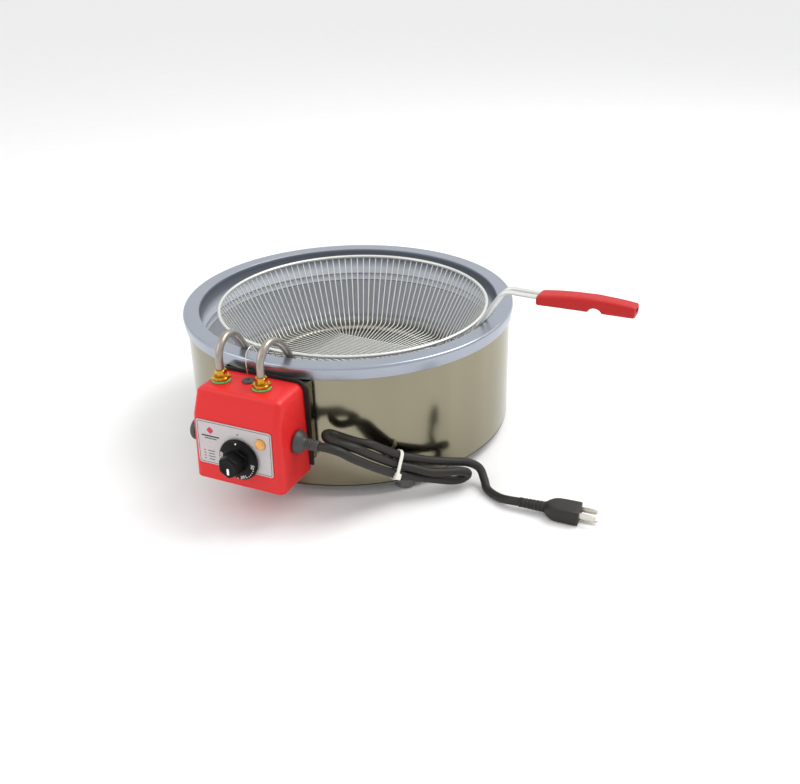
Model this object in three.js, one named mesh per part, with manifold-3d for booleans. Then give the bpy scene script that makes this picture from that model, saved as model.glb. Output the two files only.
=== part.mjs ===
// A round electric deep fryer: a deep aluminium pan in a steel shell, an immersion heater that
// hooks over the rim from a red control box, and a wire basket on a long handle.
// Millimetres, +Z up. The origin is the middle of the base plate's underside, on the pan's axis.
// The control box faces -Y and the basket's handle points along +X.

import * as THREE from "three";
import { mergeVertices } from "three/addons/utils/BufferGeometryUtils.js";
import Module from "manifold-3d";

const wasm = await Module();
wasm.setup();

// ---------- driving dimensions ----------
const GAP = 0.3; // left between pieces that touch

// Pan and shell
const RIM_RADIUS = 200;
const RIM_TOP = 149;
const SKIRT_HEIGHT = 15; // turned-down edge of the rim
const PAN_RADIUS = 181; // mouth of the pan
const PAN_FLOOR = 34;
const PAN_SHEET = 2;
const SHELL_RADIUS = 196;
const SHELL_SHEET = 1.4;
const BASE_SHEET = 1.5;

// Feet
const FOOT_RADIUS = 11;
const FOOT_HEIGHT = 12;
const FOOT_CIRCLE = 184;
const FOOT_ANGLES = { front_right: -45, back_right: 45, back_left: 135, front_left: -135 };

// Control box
const BOX_BACK = -203.5;
const BOX_CREASE = { y: -258, z: 105 };
const BOX_BOTTOM = { y: -260.8, z: 30.5 };
const BOX_TOP = { y: -248.4, z: 134 };
const BOX_RIGHT = { top: 50, bottom: 52 };
const BOX_LEFT = { top: 54.5, bottom: 56.5, back: 53 }; // the left side splays towards the front
const BOX_WALL = 2.5;
const FITTING_Y = -227; // heater legs
const LEG_X = { left: -34, right: 15.4 };
const INNER_LEG_X = { left: -39, right: 17.5 };
const GROMMET = { x: -6.3, y: -218.6 };

// Dial, on the sloping front of the box
const DIAL = { x: 2.5, y: -259.5, z: 65.8 };
const PANEL_TILT = Math.atan2(BOX_CREASE.y - BOX_BOTTOM.y, BOX_CREASE.z - BOX_BOTTOM.z);
const DIAL_RADIUS = 23;
const LAMP = { x: 26.4, y: 22, radius: 5.9 }; // from the dial's centre, along the panel

// Heater
const TUBE_RADIUS = 4.1;
const HEATER_PLANE = 61;
const HEATER_LOOP = 105;

// Basket, turned a little about its own centre
const BASKET_CENTRE = { x: 7.3, y: -2.3 };
const BASKET_TURN = THREE.MathUtils.degToRad(-3.5);
const BASKET_TOP_RADIUS = 162;
const BASKET_BOTTOM_RADIUS = 120.7;
const BASKET_TOP = 146;
const BASKET_BOTTOM = 66.3;
const BASKET_SKIN = 1.8;
const RING_WIRE = 2.1;
const ROD_RADIUS = 2.5;
const ROD_SPACING = 12.6;
const GRIP = { start: 236.5, end: 343.5, startWidth: 25, endWidth: 19 };

// Cord
const CORD_RADIUS = 4.75;
const GLAND = { y: -225.6, z: 78 };
const SPARE_HOLE = [-54.4, -225.6, 66.5];
const LEFT_SPLAY = THREE.MathUtils.degToRad(3.9);
const PLUG_AXIS = { start: [273.4, -127.4, -3.2], turn: THREE.MathUtils.degToRad(2.5) };

// ---------- finishes ----------
const finish = (color, roughness, metalness) =>
  new THREE.MeshStandardMaterial({ color, roughness, metalness });
const finishes = {
  aluminium: () => finish(0xaab0bb, 0.35, 0.9),
  shellSteel: () => finish(0x8f8a76, 0.2, 1),
  plainSteel: () => finish(0x9a9a98, 0.4, 0.9),
  redPlastic: () => finish(0xe02d2d, 0.35, 0),
  blackRubber: () => finish(0x1a1a1a, 0.8, 0),
  greyPlastic: () => finish(0x5c5c5a, 0.5, 0),
  labelFoil: () => finish(0xbdb6b6, 0.4, 0.5),
  tubeSteel: () => finish(0x968f87, 0.35, 0.9),
  brass: () => finish(0xc8932b, 0.3, 1),
  greenFibre: () => finish(0x4cc46a, 0.6, 0),
  knobBlack: () => finish(0x0c0c0c, 0.2, 0),
  amberLens: () => finish(0xe8a33c, 0.2, 0),
  basketWire: () => finish(0xdadbd2, 0.3, 0.9),
  gripRed: () => finish(0xc82a2a, 0.45, 0),
  cordBlack: () => finish(0x33312d, 0.6, 0),
  tieWhite: () => finish(0xe8e6df, 0.5, 0),
  ceramic: () => finish(0xe6e0d0, 0.7, 0),
};

// ---------- helpers ----------
/** A named sub-part. */
function part(name, geometry, material) {
  const mesh = new THREE.Mesh(geometry, material());
  mesh.name = name;
  return mesh;
}

/** A body of revolution about +Z from [radius, height] points, walked up the outside. */
function turned(points, segments) {
  const profile = points.map(([radius, height]) => new THREE.Vector2(radius, height));
  return new THREE.LatheGeometry(profile, segments).rotateX(Math.PI / 2);
}

/** A ring about +Z with a rectangular section. */
function ring(inner, outer, low, high, segments) {
  return turned([[inner, low], [outer, low], [outer, high], [inner, high], [inner, low]], segments);
}

/** A flat outline from [a, b] points. */
function outline(points) {
  return new THREE.Shape(points.map(([a, b]) => new THREE.Vector2(a, b)));
}

/** A rectangle with rounded corners, centred on (a, b). */
function roundedRectangle(a, b, width, height, radius) {
  const [left, right, low, high] = [a - width / 2, a + width / 2, b - height / 2, b + height / 2];
  const shape = new THREE.Shape();
  shape.moveTo(left + radius, low);
  shape.absarc(right - radius, low + radius, radius, -Math.PI / 2, 0, false);
  shape.absarc(right - radius, high - radius, radius, 0, Math.PI / 2, false);
  shape.absarc(left + radius, high - radius, radius, Math.PI / 2, Math.PI, false);
  shape.absarc(left + radius, low + radius, radius, Math.PI, Math.PI * 1.5, false);
  return shape;
}

const AXES = {
  // an outline's first axis, its second axis, and the way it is drawn out
  x: [[0, 1, 0], [0, 0, 1], [1, 0, 0]],
  y: [[0, 0, 1], [1, 0, 0], [0, 1, 0]],
  z: [[1, 0, 0], [0, 1, 0], [0, 0, 1]],
};

/** An outline drawn out along an axis, from low to high. Across Y, its points are [z, x]. */
function drawnOut(shape, axis, low, high, curveSegments = 4) {
  const solid = new THREE.ExtrudeGeometry(shape, {
    depth: high - low, bevelEnabled: false, curveSegments,
  });
  const [first, second, out] = AXES[axis].map((v) => new THREE.Vector3(...v));
  solid.translate(0, 0, low);
  return solid.applyMatrix4(new THREE.Matrix4().makeBasis(first, second, out));
}

/** A round tube along a smooth curve through the points. */
function tube(points, radius, sides, steps) {
  const places = points.map((p) => new THREE.Vector3(...p));
  const curve = new THREE.CatmullRomCurve3(places, false, "centripetal");
  const section = new THREE.Shape();
  section.absarc(0, 0, radius, 0, Math.PI * 2, false);
  return new THREE.ExtrudeGeometry(section, { extrudePath: curve, steps, curveSegments: sides / 2 });
}

/** A cylinder along an axis, from low to high, centred on the other two coordinates. */
function rod(axis, radius, low, high, segments, [a, b]) {
  const solid = new THREE.CylinderGeometry(radius, radius, high - low, segments);
  const middle = (low + high) / 2;
  if (axis === "x") return solid.rotateZ(Math.PI / 2).translate(middle, a, b);
  if (axis === "z") return solid.rotateX(Math.PI / 2).translate(a, b, middle);
  return solid.translate(a, middle, b);
}

function box(width, depth, height, x, y, z) {
  return new THREE.BoxGeometry(width, depth, height).translate(x, y, z);
}

function toSolid(geometry) {
  const bare = geometry.clone();
  bare.deleteAttribute("normal");
  bare.deleteAttribute("uv");
  const merged = mergeVertices(bare, 1e-3);
  return new wasm.Manifold(new wasm.Mesh({
    numProp: 3,
    vertProperties: new Float32Array(merged.attributes.position.array),
    triVerts: new Uint32Array(merged.index.array),
  }));
}

function toGeometry(solid) {
  const { numProp, vertProperties, triVerts } = solid.getMesh();
  const geometry = new THREE.BufferGeometry();
  geometry.setAttribute("position", new THREE.BufferAttribute(vertProperties, numProp));
  geometry.setIndex(new THREE.BufferAttribute(triVerts, 1));
  geometry.computeVertexNormals();
  return geometry;
}

/** A solid with every cutter taken away. */
function cut(geometry, cutters) {
  return toGeometry(cutters.reduce((solid, cutter) => solid.subtract(toSolid(cutter)), toSolid(geometry)));
}

function polar(radius, degrees, height) {
  const angle = THREE.MathUtils.degToRad(degrees);
  return [radius * Math.cos(angle), radius * Math.sin(angle), height];
}

// ---------- pan, shell and base ----------
/** The pan: a drawn bowl whose flat rim turns down into a short skirt. */
function makePan() {
  const wall = PAN_RADIUS - 2.5;
  const under = RIM_TOP - PAN_SHEET;
  const skirt = RIM_TOP - SKIRT_HEIGHT;
  const profile = [
    [0, PAN_FLOOR - PAN_SHEET], [160, PAN_FLOOR - PAN_SHEET], [172, PAN_FLOOR + 2],
    [wall + 1.5, PAN_FLOOR + 14], [PAN_RADIUS + 1.5, under - 3], [PAN_RADIUS + 4, under],
    [196.2, under], [197.6, under - 3], [197, skirt], [198.4, skirt],
    [RIM_RADIUS, RIM_TOP - 3], [198.6, RIM_TOP - 0.8], [195.5, RIM_TOP],
    [PAN_RADIUS + 3, RIM_TOP], [PAN_RADIUS, RIM_TOP - 2.5], [wall + 1.2, 105],
    [wall - 0.8, PAN_FLOOR + 14], [170.5, PAN_FLOOR + 3.6], [159, PAN_FLOOR], [0, PAN_FLOOR],
  ];
  return part("oil_pan", turned(profile, 56), finishes.aluminium);
}

function makeShell() {
  const low = BASE_SHEET + GAP;
  const high = RIM_TOP - PAN_SHEET - GAP;
  return part("outer_shell", ring(SHELL_RADIUS - SHELL_SHEET, SHELL_RADIUS, low, high, 56), finishes.shellSteel);
}

function makeBase() {
  const plate = rod("z", SHELL_RADIUS, 0, BASE_SHEET, 56, [0, 0]);
  const holes = Object.values(FOOT_ANGLES).map((angle) => {
    const [x, y] = polar(FOOT_CIRCLE, angle, 0);
    return rod("z", 2.4, -1, BASE_SHEET + 1, 10, [x, y]);
  });
  return part("base_plate", cut(plate, holes), finishes.plainSteel);
}

/** One rubber foot, counterbored from below for its screw. */
function makeFoot(place, angle) {
  const low = -FOOT_HEIGHT;
  const profile = [
    [2.4, low + 5], [5, low + 5], [5, low], [FOOT_RADIUS - 1, low], [FOOT_RADIUS, low + 1],
    [FOOT_RADIUS, -1.3], [FOOT_RADIUS - 1, -GAP], [2.4, -GAP], [2.4, low + 5],
  ];
  const foot = part(`foot_${place}`, turned(profile, 20), finishes.greyPlastic);
  foot.position.set(...polar(FOOT_CIRCLE, angle, 0));
  return foot;
}

function makeFootScrew(place, angle) {
  const seat = 5 - FOOT_HEIGHT - GAP;
  const top = BASE_SHEET + 8;
  const profile = [[0, seat - 2.6], [3, seat - 2.6], [4.2, seat - 1], [4.2, seat], [2, seat], [2, top], [0, top]];
  const screw = part(`foot_screw_${place}`, turned(profile, 12), finishes.plainSteel);
  screw.position.set(...polar(FOOT_CIRCLE, angle, 0));
  return screw;
}

// ---------- control box ----------
/** The box as a full block, with every face moved in by inset; it runs back to y = back. */
function boxBlock(inset, back) {
  const side = outline([
    [back, BOX_BOTTOM.z + inset], [BOX_BOTTOM.y + inset, BOX_BOTTOM.z + inset],
    [BOX_CREASE.y + inset, BOX_CREASE.z], [BOX_TOP.y + inset, BOX_TOP.z - 3 - inset / 2],
    [BOX_TOP.y + 3 + inset, BOX_TOP.z - inset], [back, BOX_TOP.z - inset],
  ]);
  const right = { top: BOX_RIGHT.top - inset, bottom: BOX_RIGHT.bottom - inset };
  const left = { top: inset - BOX_LEFT.top, bottom: inset - BOX_LEFT.bottom, back: inset - BOX_LEFT.back };
  const [low, high, corner] = [BOX_BOTTOM.z + inset, BOX_TOP.z - inset, 9 - inset];
  const front = new THREE.Shape();
  front.moveTo(low, left.bottom);
  front.lineTo(low, right.bottom);
  front.lineTo(high - corner, right.top);
  front.absarc(high - corner, right.top - corner, corner, Math.PI / 2, 0, true);
  front.absarc(high - corner, left.top + corner, corner, 0, -Math.PI / 2, true);
  const round = 6.5;
  const reach = BOX_BOTTOM.y + inset;
  const plan = new THREE.Shape();
  plan.moveTo(right.bottom, back);
  plan.lineTo(left.back, back);
  plan.absarc(left.bottom + round, reach + round, round, Math.PI, Math.PI * 1.5, false);
  plan.absarc(right.bottom - round, reach + round, round, Math.PI * 1.5, Math.PI * 2, false);
  return toSolid(drawnOut(side, "x", -60, 60))
    .intersect(toSolid(drawnOut(front, "y", -270, -190)))
    .intersect(toSolid(drawnOut(plan, "z", 0, 160)));
}

/** Something that is laid out on the sloping panel, with its own +Z pointing out of the box. */
function onPanel(...children) {
  const group = new THREE.Group();
  group.position.set(DIAL.x, DIAL.y, DIAL.z);
  group.rotation.x = Math.PI / 2 - PANEL_TILT;
  group.add(...children);
  group.updateMatrixWorld(true);
  return group;
}

function panelCutter(radius, x, y) {
  const cutter = new THREE.Object3D();
  cutter.position.set(x, y, 0);
  onPanel(cutter);
  return rod("z", radius, -8, 8, 16, [0, 0]).applyMatrix4(cutter.matrixWorld);
}

function makeControlBox() {
  const shell = boxBlock(0, BOX_BACK).subtract(boxBlock(BOX_WALL, BOX_BACK + 1));
  const holes = [
    ...Object.values(LEG_X).map((x) => rod("z", 5.9, 125, 140, 16, [x, FITTING_Y])),
    rod("z", 4.9, 125, 140, 14, [GROMMET.x, GROMMET.y]),
    rod("x", 6.6, -60, -40, 14, [SPARE_HOLE[1], SPARE_HOLE[2]]),
    rod("x", 6.4, 40, 60, 14, [GLAND.y, GLAND.z]),
    panelCutter(4, 0, 0),
    panelCutter(4.3, LAMP.x, LAMP.y),
  ];
  return part("control_box", cut(toGeometry(shell), holes), finishes.redPlastic);
}

/** The black gasket between the box and the shell, standing a little proud of the box. */
function makeGasket() {
  const [low, high, half, corner] = [37, 137.5, 55.5, 14];
  const sheet = new THREE.Shape();
  sheet.moveTo(low, -half);
  sheet.lineTo(low, half);
  sheet.absarc(high - corner, half - corner, corner, Math.PI / 2, 0, true);
  sheet.absarc(high - corner, corner - half, corner, 0, -Math.PI / 2, true);
  return part("box_gasket", drawnOut(sheet, "y", BOX_BACK + GAP, -201), finishes.blackRubber);
}

/** The steel saddle that fits the flat back of the box to the round shell. */
function makeSaddle() {
  const block = box(104, 14, 93, 0, -193.7, 86.5);
  const shell = rod("z", SHELL_RADIUS + GAP, 30, 150, 56, [0, 0]);
  return part("mounting_saddle", cut(block, [shell]), finishes.shellSteel);
}

/** The foil label, with holes for the shaft and the lamp. */
function makeLabel() {
  const face = roundedRectangle(-6, 10.9, 91, 51, 3);
  for (const [x, y, radius] of [[0, 0, 4.3], [LAMP.x, LAMP.y, LAMP.radius + 0.4]]) {
    const hole = new THREE.Path();
    hole.absarc(x, y, radius, 0, Math.PI * 2, true);
    face.holes.push(hole);
  }
  return part("label_panel", drawnOut(face, "z", GAP, GAP + 0.8, 6), finishes.labelFoil);
}

function makeLampLens() {
  const r = LAMP.radius;
  const lens = turned([[0, 1.2], [r, 1.2], [r, 3.2], [r * 0.8, 4.8], [r * 0.4, 5.6], [0, 5.8]], 20);
  return part("pilot_lamp_lens", lens.translate(LAMP.x, LAMP.y, 0), finishes.amberLens);
}

function makeLampBody() {
  const body = turned([[0, -20], [3.8, -20], [3.8, 0.9], [0, 0.9]], 14);
  return part("pilot_lamp_body", body.translate(LAMP.x, LAMP.y, 0), finishes.ceramic);
}

function makeThermostat() {
  const body = drawnOut(roundedRectangle(0, 0, 36, 36, 6), "z", -25, -2.9);
  return part("thermostat_body", body, finishes.greyPlastic);
}

/** The knob: a round skirt that carries the scale, and a six-sided grip, on a blind bore. */
function makeKnob() {
  const r = DIAL_RADIUS;
  const skirt = turned([[0, 2.2], [r - 0.6, 2.2], [r, 3], [r, 5], [r - 3, 7.4], [0, 8.2]], 36);
  const grip = turned([[0, 7], [12.9, 7], [12.2, 22.6], [11, 24], [0, 24]], 6);
  const joined = toSolid(skirt).add(toSolid(grip.rotateZ(Math.PI / 2)));
  const bore = rod("z", 3.3, 0, 16, 14, [0, 0]);
  return part("control_knob", cut(toGeometry(joined), [bore]), finishes.knobBlack);
}

function makeShaft() {
  return part("thermostat_shaft", rod("z", 3, -2.5, 15.6, 14, [0, 0]), finishes.plainSteel);
}

function makeTerminalBlock() {
  return part("terminal_block", box(40, 14, 15, -10, -228, 42), finishes.ceramic);
}

/** A short wire from one heater end down to the terminal block. */
function makeHeaterLead(side, x, end) {
  const route = [
    [x, FITTING_Y, 111.4], [x * 1.1, FITTING_Y + 3, 100], [x * 1.1, -214, 84],
    [(x * 1.1 + end) / 2, -215, 68], [end, -224.5, 60], [end, -225, 50.1],
  ];
  return part(`heater_lead_${side}`, tube(route, 1.4, 8, 12), finishes.cordBlack);
}

// ---------- cable glands ----------
/** The gland on the right: a bell against the wall, then a ribbed strain relief. */
function makeGland() {
  const profile = [
    [0, -11], [6, -11], [6, 0.6], [13, 0.6], [13, 2.4], [10.6, 6], [6, 9.5], [5.2, 11],
    [6.2, 12], [6.2, 13.5], [5.2, 14.5], [6.1, 15.5], [6.1, 17], [5.2, 18], [6, 19], [6, 20.5],
    [5.1, 21.5], [5.9, 22.5], [5.9, 26.4], [0, 26.4],
  ];
  const gland = turned(profile, 20).rotateY(Math.PI / 2).translate(51.6, GLAND.y, GLAND.z);
  return part("cord_gland", gland, finishes.greyPlastic);
}

/** The unused gland hole on the left is closed by a plug with a stepped, ribbed head. */
function makeBlankingPlug() {
  const profile = [
    [0, -9], [5.8, -9], [5.8, 0.6], [10, 0.6], [10, 3], [7, 4], [7, 6.5], [13.2, 7.5], [13.2, 12.5],
    [11.5, 13.8], [11.5, 15], [13.2, 16.3], [13.2, 21], [11, 23.5], [0, 23.5],
  ];
  const plug = turned(profile, 20).rotateY(-Math.PI / 2).rotateZ(-LEFT_SPLAY);
  return part("blanking_plug", plug.translate(...SPARE_HOLE), finishes.greyPlastic);
}

// ---------- heater ----------
/** One tube: up out of the box, over the rim, down inside the pan, round a loop and back. */
function makeHeater() {
  const loop = [];
  for (let angle = 234; angle >= -66; angle -= 15) loop.push(polar(HEATER_LOOP, angle, HEATER_PLANE));
  const arch = [
    [FITTING_Y, 112], [FITTING_Y, 141], [FITTING_Y, 156], [-225.4, 165], [-219.5, 173],
    [-209, 177.3], [-197.5, 175.3], [-186.5, 166.5], [-177.2, 155], [-169.8, 143],
    [-166.2, 131], [-165, 112], [-164.5, 82],
  ];
  const over = (side) => arch.map(([y, z]) => {
    const inward = (y - FITTING_Y) / (-164.5 - FITTING_Y);
    return [THREE.MathUtils.lerp(LEG_X[side], INNER_LEG_X[side], inward), y, z];
  });
  const route = [
    ...over("left"), [-41, -160, 69], [-46, -148, 62], [-54, -122, 61],
    ...loop, [36, -119, 61], [23, -146, 61.5], [18.5, -160, 69], ...over("right").reverse(),
  ];
  return part("heater_element", tube(route, TUBE_RADIUS, 8, 150), finishes.tubeSteel);
}

/** A six-sided nut about +Z, measured across its corners. */
function hexNut(corner, bore, low, high) {
  const hexagon = outline([0, 60, 120, 180, 240, 300].map((angle) => polar(corner, angle, 0)));
  const hole = new THREE.Path();
  hole.absarc(0, 0, bore, 0, Math.PI * 2, true);
  hexagon.holes.push(hole);
  return drawnOut(hexagon, "z", low, high, 8);
}

/** What holds a leg in the box's top: ferrule on the tube, green washer, nut and inner locknut. */
function makeFitting(side, x) {
  const pieces = [
    part(`heater_ferrule_${side}`, ring(4.5, 5.4, 118, 149, 16), finishes.brass),
    part(`heater_washer_${side}`, ring(5.8, 9.8, BOX_TOP.z + GAP, 136, 18), finishes.greenFibre),
    part(`heater_nut_${side}`, hexNut(9.6, 5.8, 136.3, 142), finishes.brass),
    part(`heater_locknut_${side}`, hexNut(8.6, 5.8, 125.6, 130.8), finishes.brass),
  ];
  for (const piece of pieces) piece.position.set(x, FITTING_Y, 0);
  return pieces;
}

/** A saddle that stands on the pan's floor and carries the heater's loop. */
function makeHeaterSupport(number, angle) {
  const top = HEATER_PLANE - TUBE_RADIUS - GAP;
  const post = box(14, 4, top - PAN_FLOOR - GAP, 0, 0, (top + PAN_FLOOR + GAP) / 2);
  const support = part(`heater_support_${number}`, post, finishes.plainSteel);
  const [x, y] = polar(HEATER_LOOP, angle, 0);
  support.position.set(x, y, 0);
  support.rotation.z = THREE.MathUtils.degToRad(angle);
  return support;
}

// ---------- thermostat line ----------
const BULB = { y: -142, z: 44, radius: 3, start: 3, end: 78 };

function makeGrommet() {
  const profile = [
    [1.6, 129.5], [4.4, 129.5], [4.4, 134.3], [6.8, 134.3], [6.8, 135.4], [5.4, 136.2],
    [1.6, 136.2], [1.6, 129.5],
  ];
  const grommet = part("capillary_grommet", turned(profile, 18), finishes.greyPlastic);
  grommet.position.set(GROMMET.x, GROMMET.y, 0);
  return grommet;
}

/** The thin line from the thermostat, through the grommet and over the rim to its bulb. */
function makeCapillary() {
  const { x, y } = GROMMET;
  const route = [
    [x, -233, 76], [x, -224, 84], [x, y - 0.5, 104], [x, y, 122], [x, y, 140], [x, -219.5, 154],
    [x, -218, 164], [x, -213, 168.6], [x, -205, 169], [x, -195, 163], [x, -184, 153],
    [x, -176, 138], [x, -172.5, 110], [x - 2, -170, 72], [x - 5, -159, 52], [-5, -146, BULB.z],
    [BULB.start - GAP, BULB.y, BULB.z],
  ];
  return part("capillary_tube", tube(route, 0.9, 8, 54), finishes.plainSteel);
}

function makeBulb() {
  const { y, z, radius, start, end } = BULB;
  return part("thermostat_bulb", rod("x", radius, start, end, 14, [y, z]), finishes.plainSteel);
}

/** A bent strip on the pan's floor that holds the bulb from below and beside. */
function makeBulbClip() {
  const { y, z, radius } = BULB;
  const [inner, outer, floor] = [radius + GAP, radius + 1.6, PAN_FLOOR + GAP];
  const strip = new THREE.Shape();
  strip.moveTo(y - outer, floor);
  strip.lineTo(y + outer, floor);
  strip.lineTo(y + outer, z + 1);
  strip.lineTo(y + inner, z + 1);
  strip.lineTo(y + inner, z);
  strip.absarc(y, z, inner, 0, -Math.PI, true);
  strip.lineTo(y - inner, z + 1);
  strip.lineTo(y - outer, z + 1);
  return part("bulb_clip", drawnOut(strip, "x", 35, 45), finishes.plainSteel);
}

// ---------- basket ----------
/** The wire bowl, as one thin skin with an open top. */
function makeBasketBowl() {
  const low = BASKET_BOTTOM - BASKET_SKIN / 2;
  const high = BASKET_TOP - RING_WIRE - GAP;
  const [floor, mouth] = [BASKET_BOTTOM_RADIUS, BASKET_TOP_RADIUS - 1.4];
  const profile = [
    [0, low], [floor, low], [mouth + BASKET_SKIN, high], [mouth, high],
    [floor - 0.8, low + BASKET_SKIN], [0, low + BASKET_SKIN],
  ];
  return part("basket_bowl", turned(profile, 48), finishes.basketWire);
}

function makeBasketRing() {
  const wire = new THREE.TorusGeometry(BASKET_TOP_RADIUS, RING_WIRE, 8, 48).translate(0, 0, BASKET_TOP);
  return part("basket_ring", wire, finishes.basketWire);
}

/** One of the two handle rods, from under the ring up over the pan's rim and into the grip. */
function makeHandleRod(side, offset) {
  const route = [
    [159.5, 132], [169, 147.2], [179.5, 164], [190.5, 181.6], [194.5, 187], [199.5, 190.6],
    [206, 191.7], [220, 191.7], [240, 191.7], [288, 191.7],
  ].map(([reach, height]) => [reach, offset, height]);
  return part(`handle_rod_${side}`, tube(route, ROD_RADIUS, 8, 36), finishes.basketWire);
}

/** The grip: arched on top, narrower at the far end, with a rest notch and a hanging slot. */
function makeGrip() {
  const side = new THREE.Shape();
  side.moveTo(183.5, GRIP.start);
  side.lineTo(195, GRIP.start);
  side.quadraticCurveTo(204.5, 296, 198.3, GRIP.end);
  side.lineTo(185, GRIP.end);
  const widest = GRIP.startWidth / 2;
  const profile = drawnOut(side, "y", -widest, widest, 8);
  const plan = drawnOut(outline([
    [GRIP.start, -widest], [GRIP.end, -GRIP.endWidth / 2],
    [GRIP.end, GRIP.endWidth / 2], [GRIP.start, widest],
  ]), "z", 170, 220);
  const block = toGeometry(toSolid(profile).intersect(toSolid(plan)));
  const bores = [-1, 1].map((way) => (
    rod("x", ROD_RADIUS + 0.5, GRIP.start - 5, 289, 14, [way * ROD_SPACING / 2, 191.7])
  ));
  const notch = rod("y", 8.5, -20, 20, 20, [301, 181]);
  const slot = box(30, 12, 5, GRIP.end - 3, 0, 192.6);
  return part("basket_grip", cut(block, [...bores, notch, slot]), finishes.gripRed);
}

// ---------- cord ----------
/** Out of the gland, folded in three and tied, down onto the floor, then an S to the plug. */
const CORD_ROUTE = [
  [78.5, -225.6, 78], [89, -225.6, 78], [100, -222.5, 74.5], [110, -215.5, 65.5],
  [118.5, -204, 54.5], [126.5, -189, 41.5], [135.5, -170.5, 27], [148.5, -155.5, 17.5],
  [162.5, -140, 9], [185.5, -115.5, -2.5], [192.5, -110, -1.5],
  [197.3, -108.8, 3.3], [198.5, -113, 9.8], [194, -119.5, 13.8], [168, -142, 19.5],
  [152, -152.5, 26.7], [136.2, -163.2, 34], [126, -182, 49.6], [118.2, -196.8, 62.5],
  [109.5, -207.5, 72.8], [98, -212.5, 77], [86, -213, 78.5], [78, -210.3, 80],
  [73.8, -204, 80], [75, -197, 77.5], [81.5, -192.8, 74], [104, -192.5, 71.5],
  [117.5, -187, 68], [125.1, -175.2, 58], [136.8, -156.8, 42], [149.5, -145, 35],
  [163.5, -131.5, 27.5], [180, -115, 20.5], [195.5, -99.5, 14], [206.5, -94.5, 6.5],
  [214.5, -101, -2], [222.5, -112.5, -6.6], [240, -123.5, -6.4],
  [252.5, -128, -3.9], [264.2, -127.8, -3.2],
];

function makeCord() {
  return part("power_cord", tube(CORD_ROUTE, CORD_RADIUS, 8, 80), finishes.cordBlack);
}

/** The tie: a flat band round the three runs, square to them. */
function makeTie() {
  const [inner, outer, reach] = [CORD_RADIUS + 1.1, CORD_RADIUS + 2.3, 10];
  const band = (radius, shape) => {
    shape.absarc(0, reach, radius, 0, Math.PI, false);
    shape.absarc(0, -reach, radius, Math.PI, Math.PI * 2, false);
    return shape;
  };
  const face = band(outer, new THREE.Shape());
  face.holes.push(band(inner, new THREE.Path()));
  const tie = part("cable_tie", drawnOut(face, "z", -2.3, 2.3, 6), finishes.tieWhite);
  const along = new THREE.Vector3(14, 14.6, -10.6).normalize();
  const stack = new THREE.Vector3(1.2, 12.6, 15.2);
  stack.addScaledVector(along, -stack.dot(along)).normalize();
  const across = new THREE.Vector3().crossVectors(stack, along);
  tie.matrix.makeBasis(across, stack, along).setPosition(136.2, -163.2, 34.2);
  tie.matrix.decompose(tie.position, tie.quaternion, tie.scale);
  return tie;
}

/** The plug with its strain relief and three pins, lying on the floor. */
function makePlug() {
  const group = new THREE.Group();
  const relief = turned([
    [0, -8.8], [5.6, -8.8], [5.6, -7.2], [5, -6.2], [5.6, 8], [6.4, 19.5], [0, 19.5],
  ], 16).rotateY(Math.PI / 2);
  const body = new THREE.Shape();
  const [start, shoulder, end, neck, half] = [19.9, 30, 57, 7, 12.5];
  body.moveTo(start, -neck);
  body.quadraticCurveTo(start + 6, -half, shoulder, -half);
  body.lineTo(end, -half);
  body.lineTo(end, half);
  body.lineTo(shoulder, half);
  body.quadraticCurveTo(start + 6, half, start, neck);
  const lying = -FOOT_HEIGHT - PLUG_AXIS.start[2];
  group.add(
    part("plug_strain_relief", relief, finishes.cordBlack),
    part("plug_body", drawnOut(body, "z", lying + GAP, -lying - GAP, 6), finishes.cordBlack),
    part("plug_blade_left", box(17, 1.5, 6.3, end + GAP + 8.5, 6.3, 2), finishes.brass),
    part("plug_blade_right", box(17, 1.5, 6.3, end + GAP + 8.5, -6.3, 2), finishes.brass),
    part("plug_ground_pin", rod("x", 2.2, end + GAP, end + 19, 12, [0, -5]), finishes.brass),
  );
  group.position.set(...PLUG_AXIS.start);
  group.rotation.z = PLUG_AXIS.turn;
  return group;
}

// ---------- assembly ----------
const fryer = new THREE.Group();
fryer.add(makePan(), makeShell(), makeBase());
for (const [place, angle] of Object.entries(FOOT_ANGLES)) {
  fryer.add(makeFoot(place, angle), makeFootScrew(place, angle));
}

fryer.add(makeControlBox(), makeGasket(), makeSaddle(), makeTerminalBlock());
fryer.add(onPanel(
  makeLabel(), makeLampLens(), makeLampBody(), makeThermostat(), makeKnob(), makeShaft(),
));
fryer.add(makeGland(), makeBlankingPlug());

fryer.add(makeHeater());
for (const [side, x] of Object.entries(LEG_X)) fryer.add(...makeFitting(side, x));
fryer.add(makeHeaterLead("left", LEG_X.left, -24), makeHeaterLead("right", LEG_X.right, 4));
[90, 210, -30].forEach((angle, index) => fryer.add(makeHeaterSupport(index + 1, angle)));
fryer.add(makeGrommet(), makeCapillary(), makeBulb(), makeBulbClip());

const basket = new THREE.Group();
basket.add(makeBasketRing(), makeBasketBowl(), makeGrip());
basket.add(makeHandleRod("left", ROD_SPACING / 2), makeHandleRod("right", -ROD_SPACING / 2));
basket.position.set(BASKET_CENTRE.x, BASKET_CENTRE.y, 0);
basket.rotation.z = BASKET_TURN;
fryer.add(basket);

fryer.add(makeCord(), makeTie(), makePlug());

export default fryer;
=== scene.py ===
# %% [markdown]
# # A round table fryer
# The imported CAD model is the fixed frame: it gives every size and place. This script loads it, then
# gives each piece its final surface and finish. Some CAD nodes are already the right shape and only
# get a material; the round, bent and wire pieces are made again here as smooth surfaces.

# %% Load the frame
import math
import bmesh
import bpy
import numpy as np
from mathutils import Matrix, Vector


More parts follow.
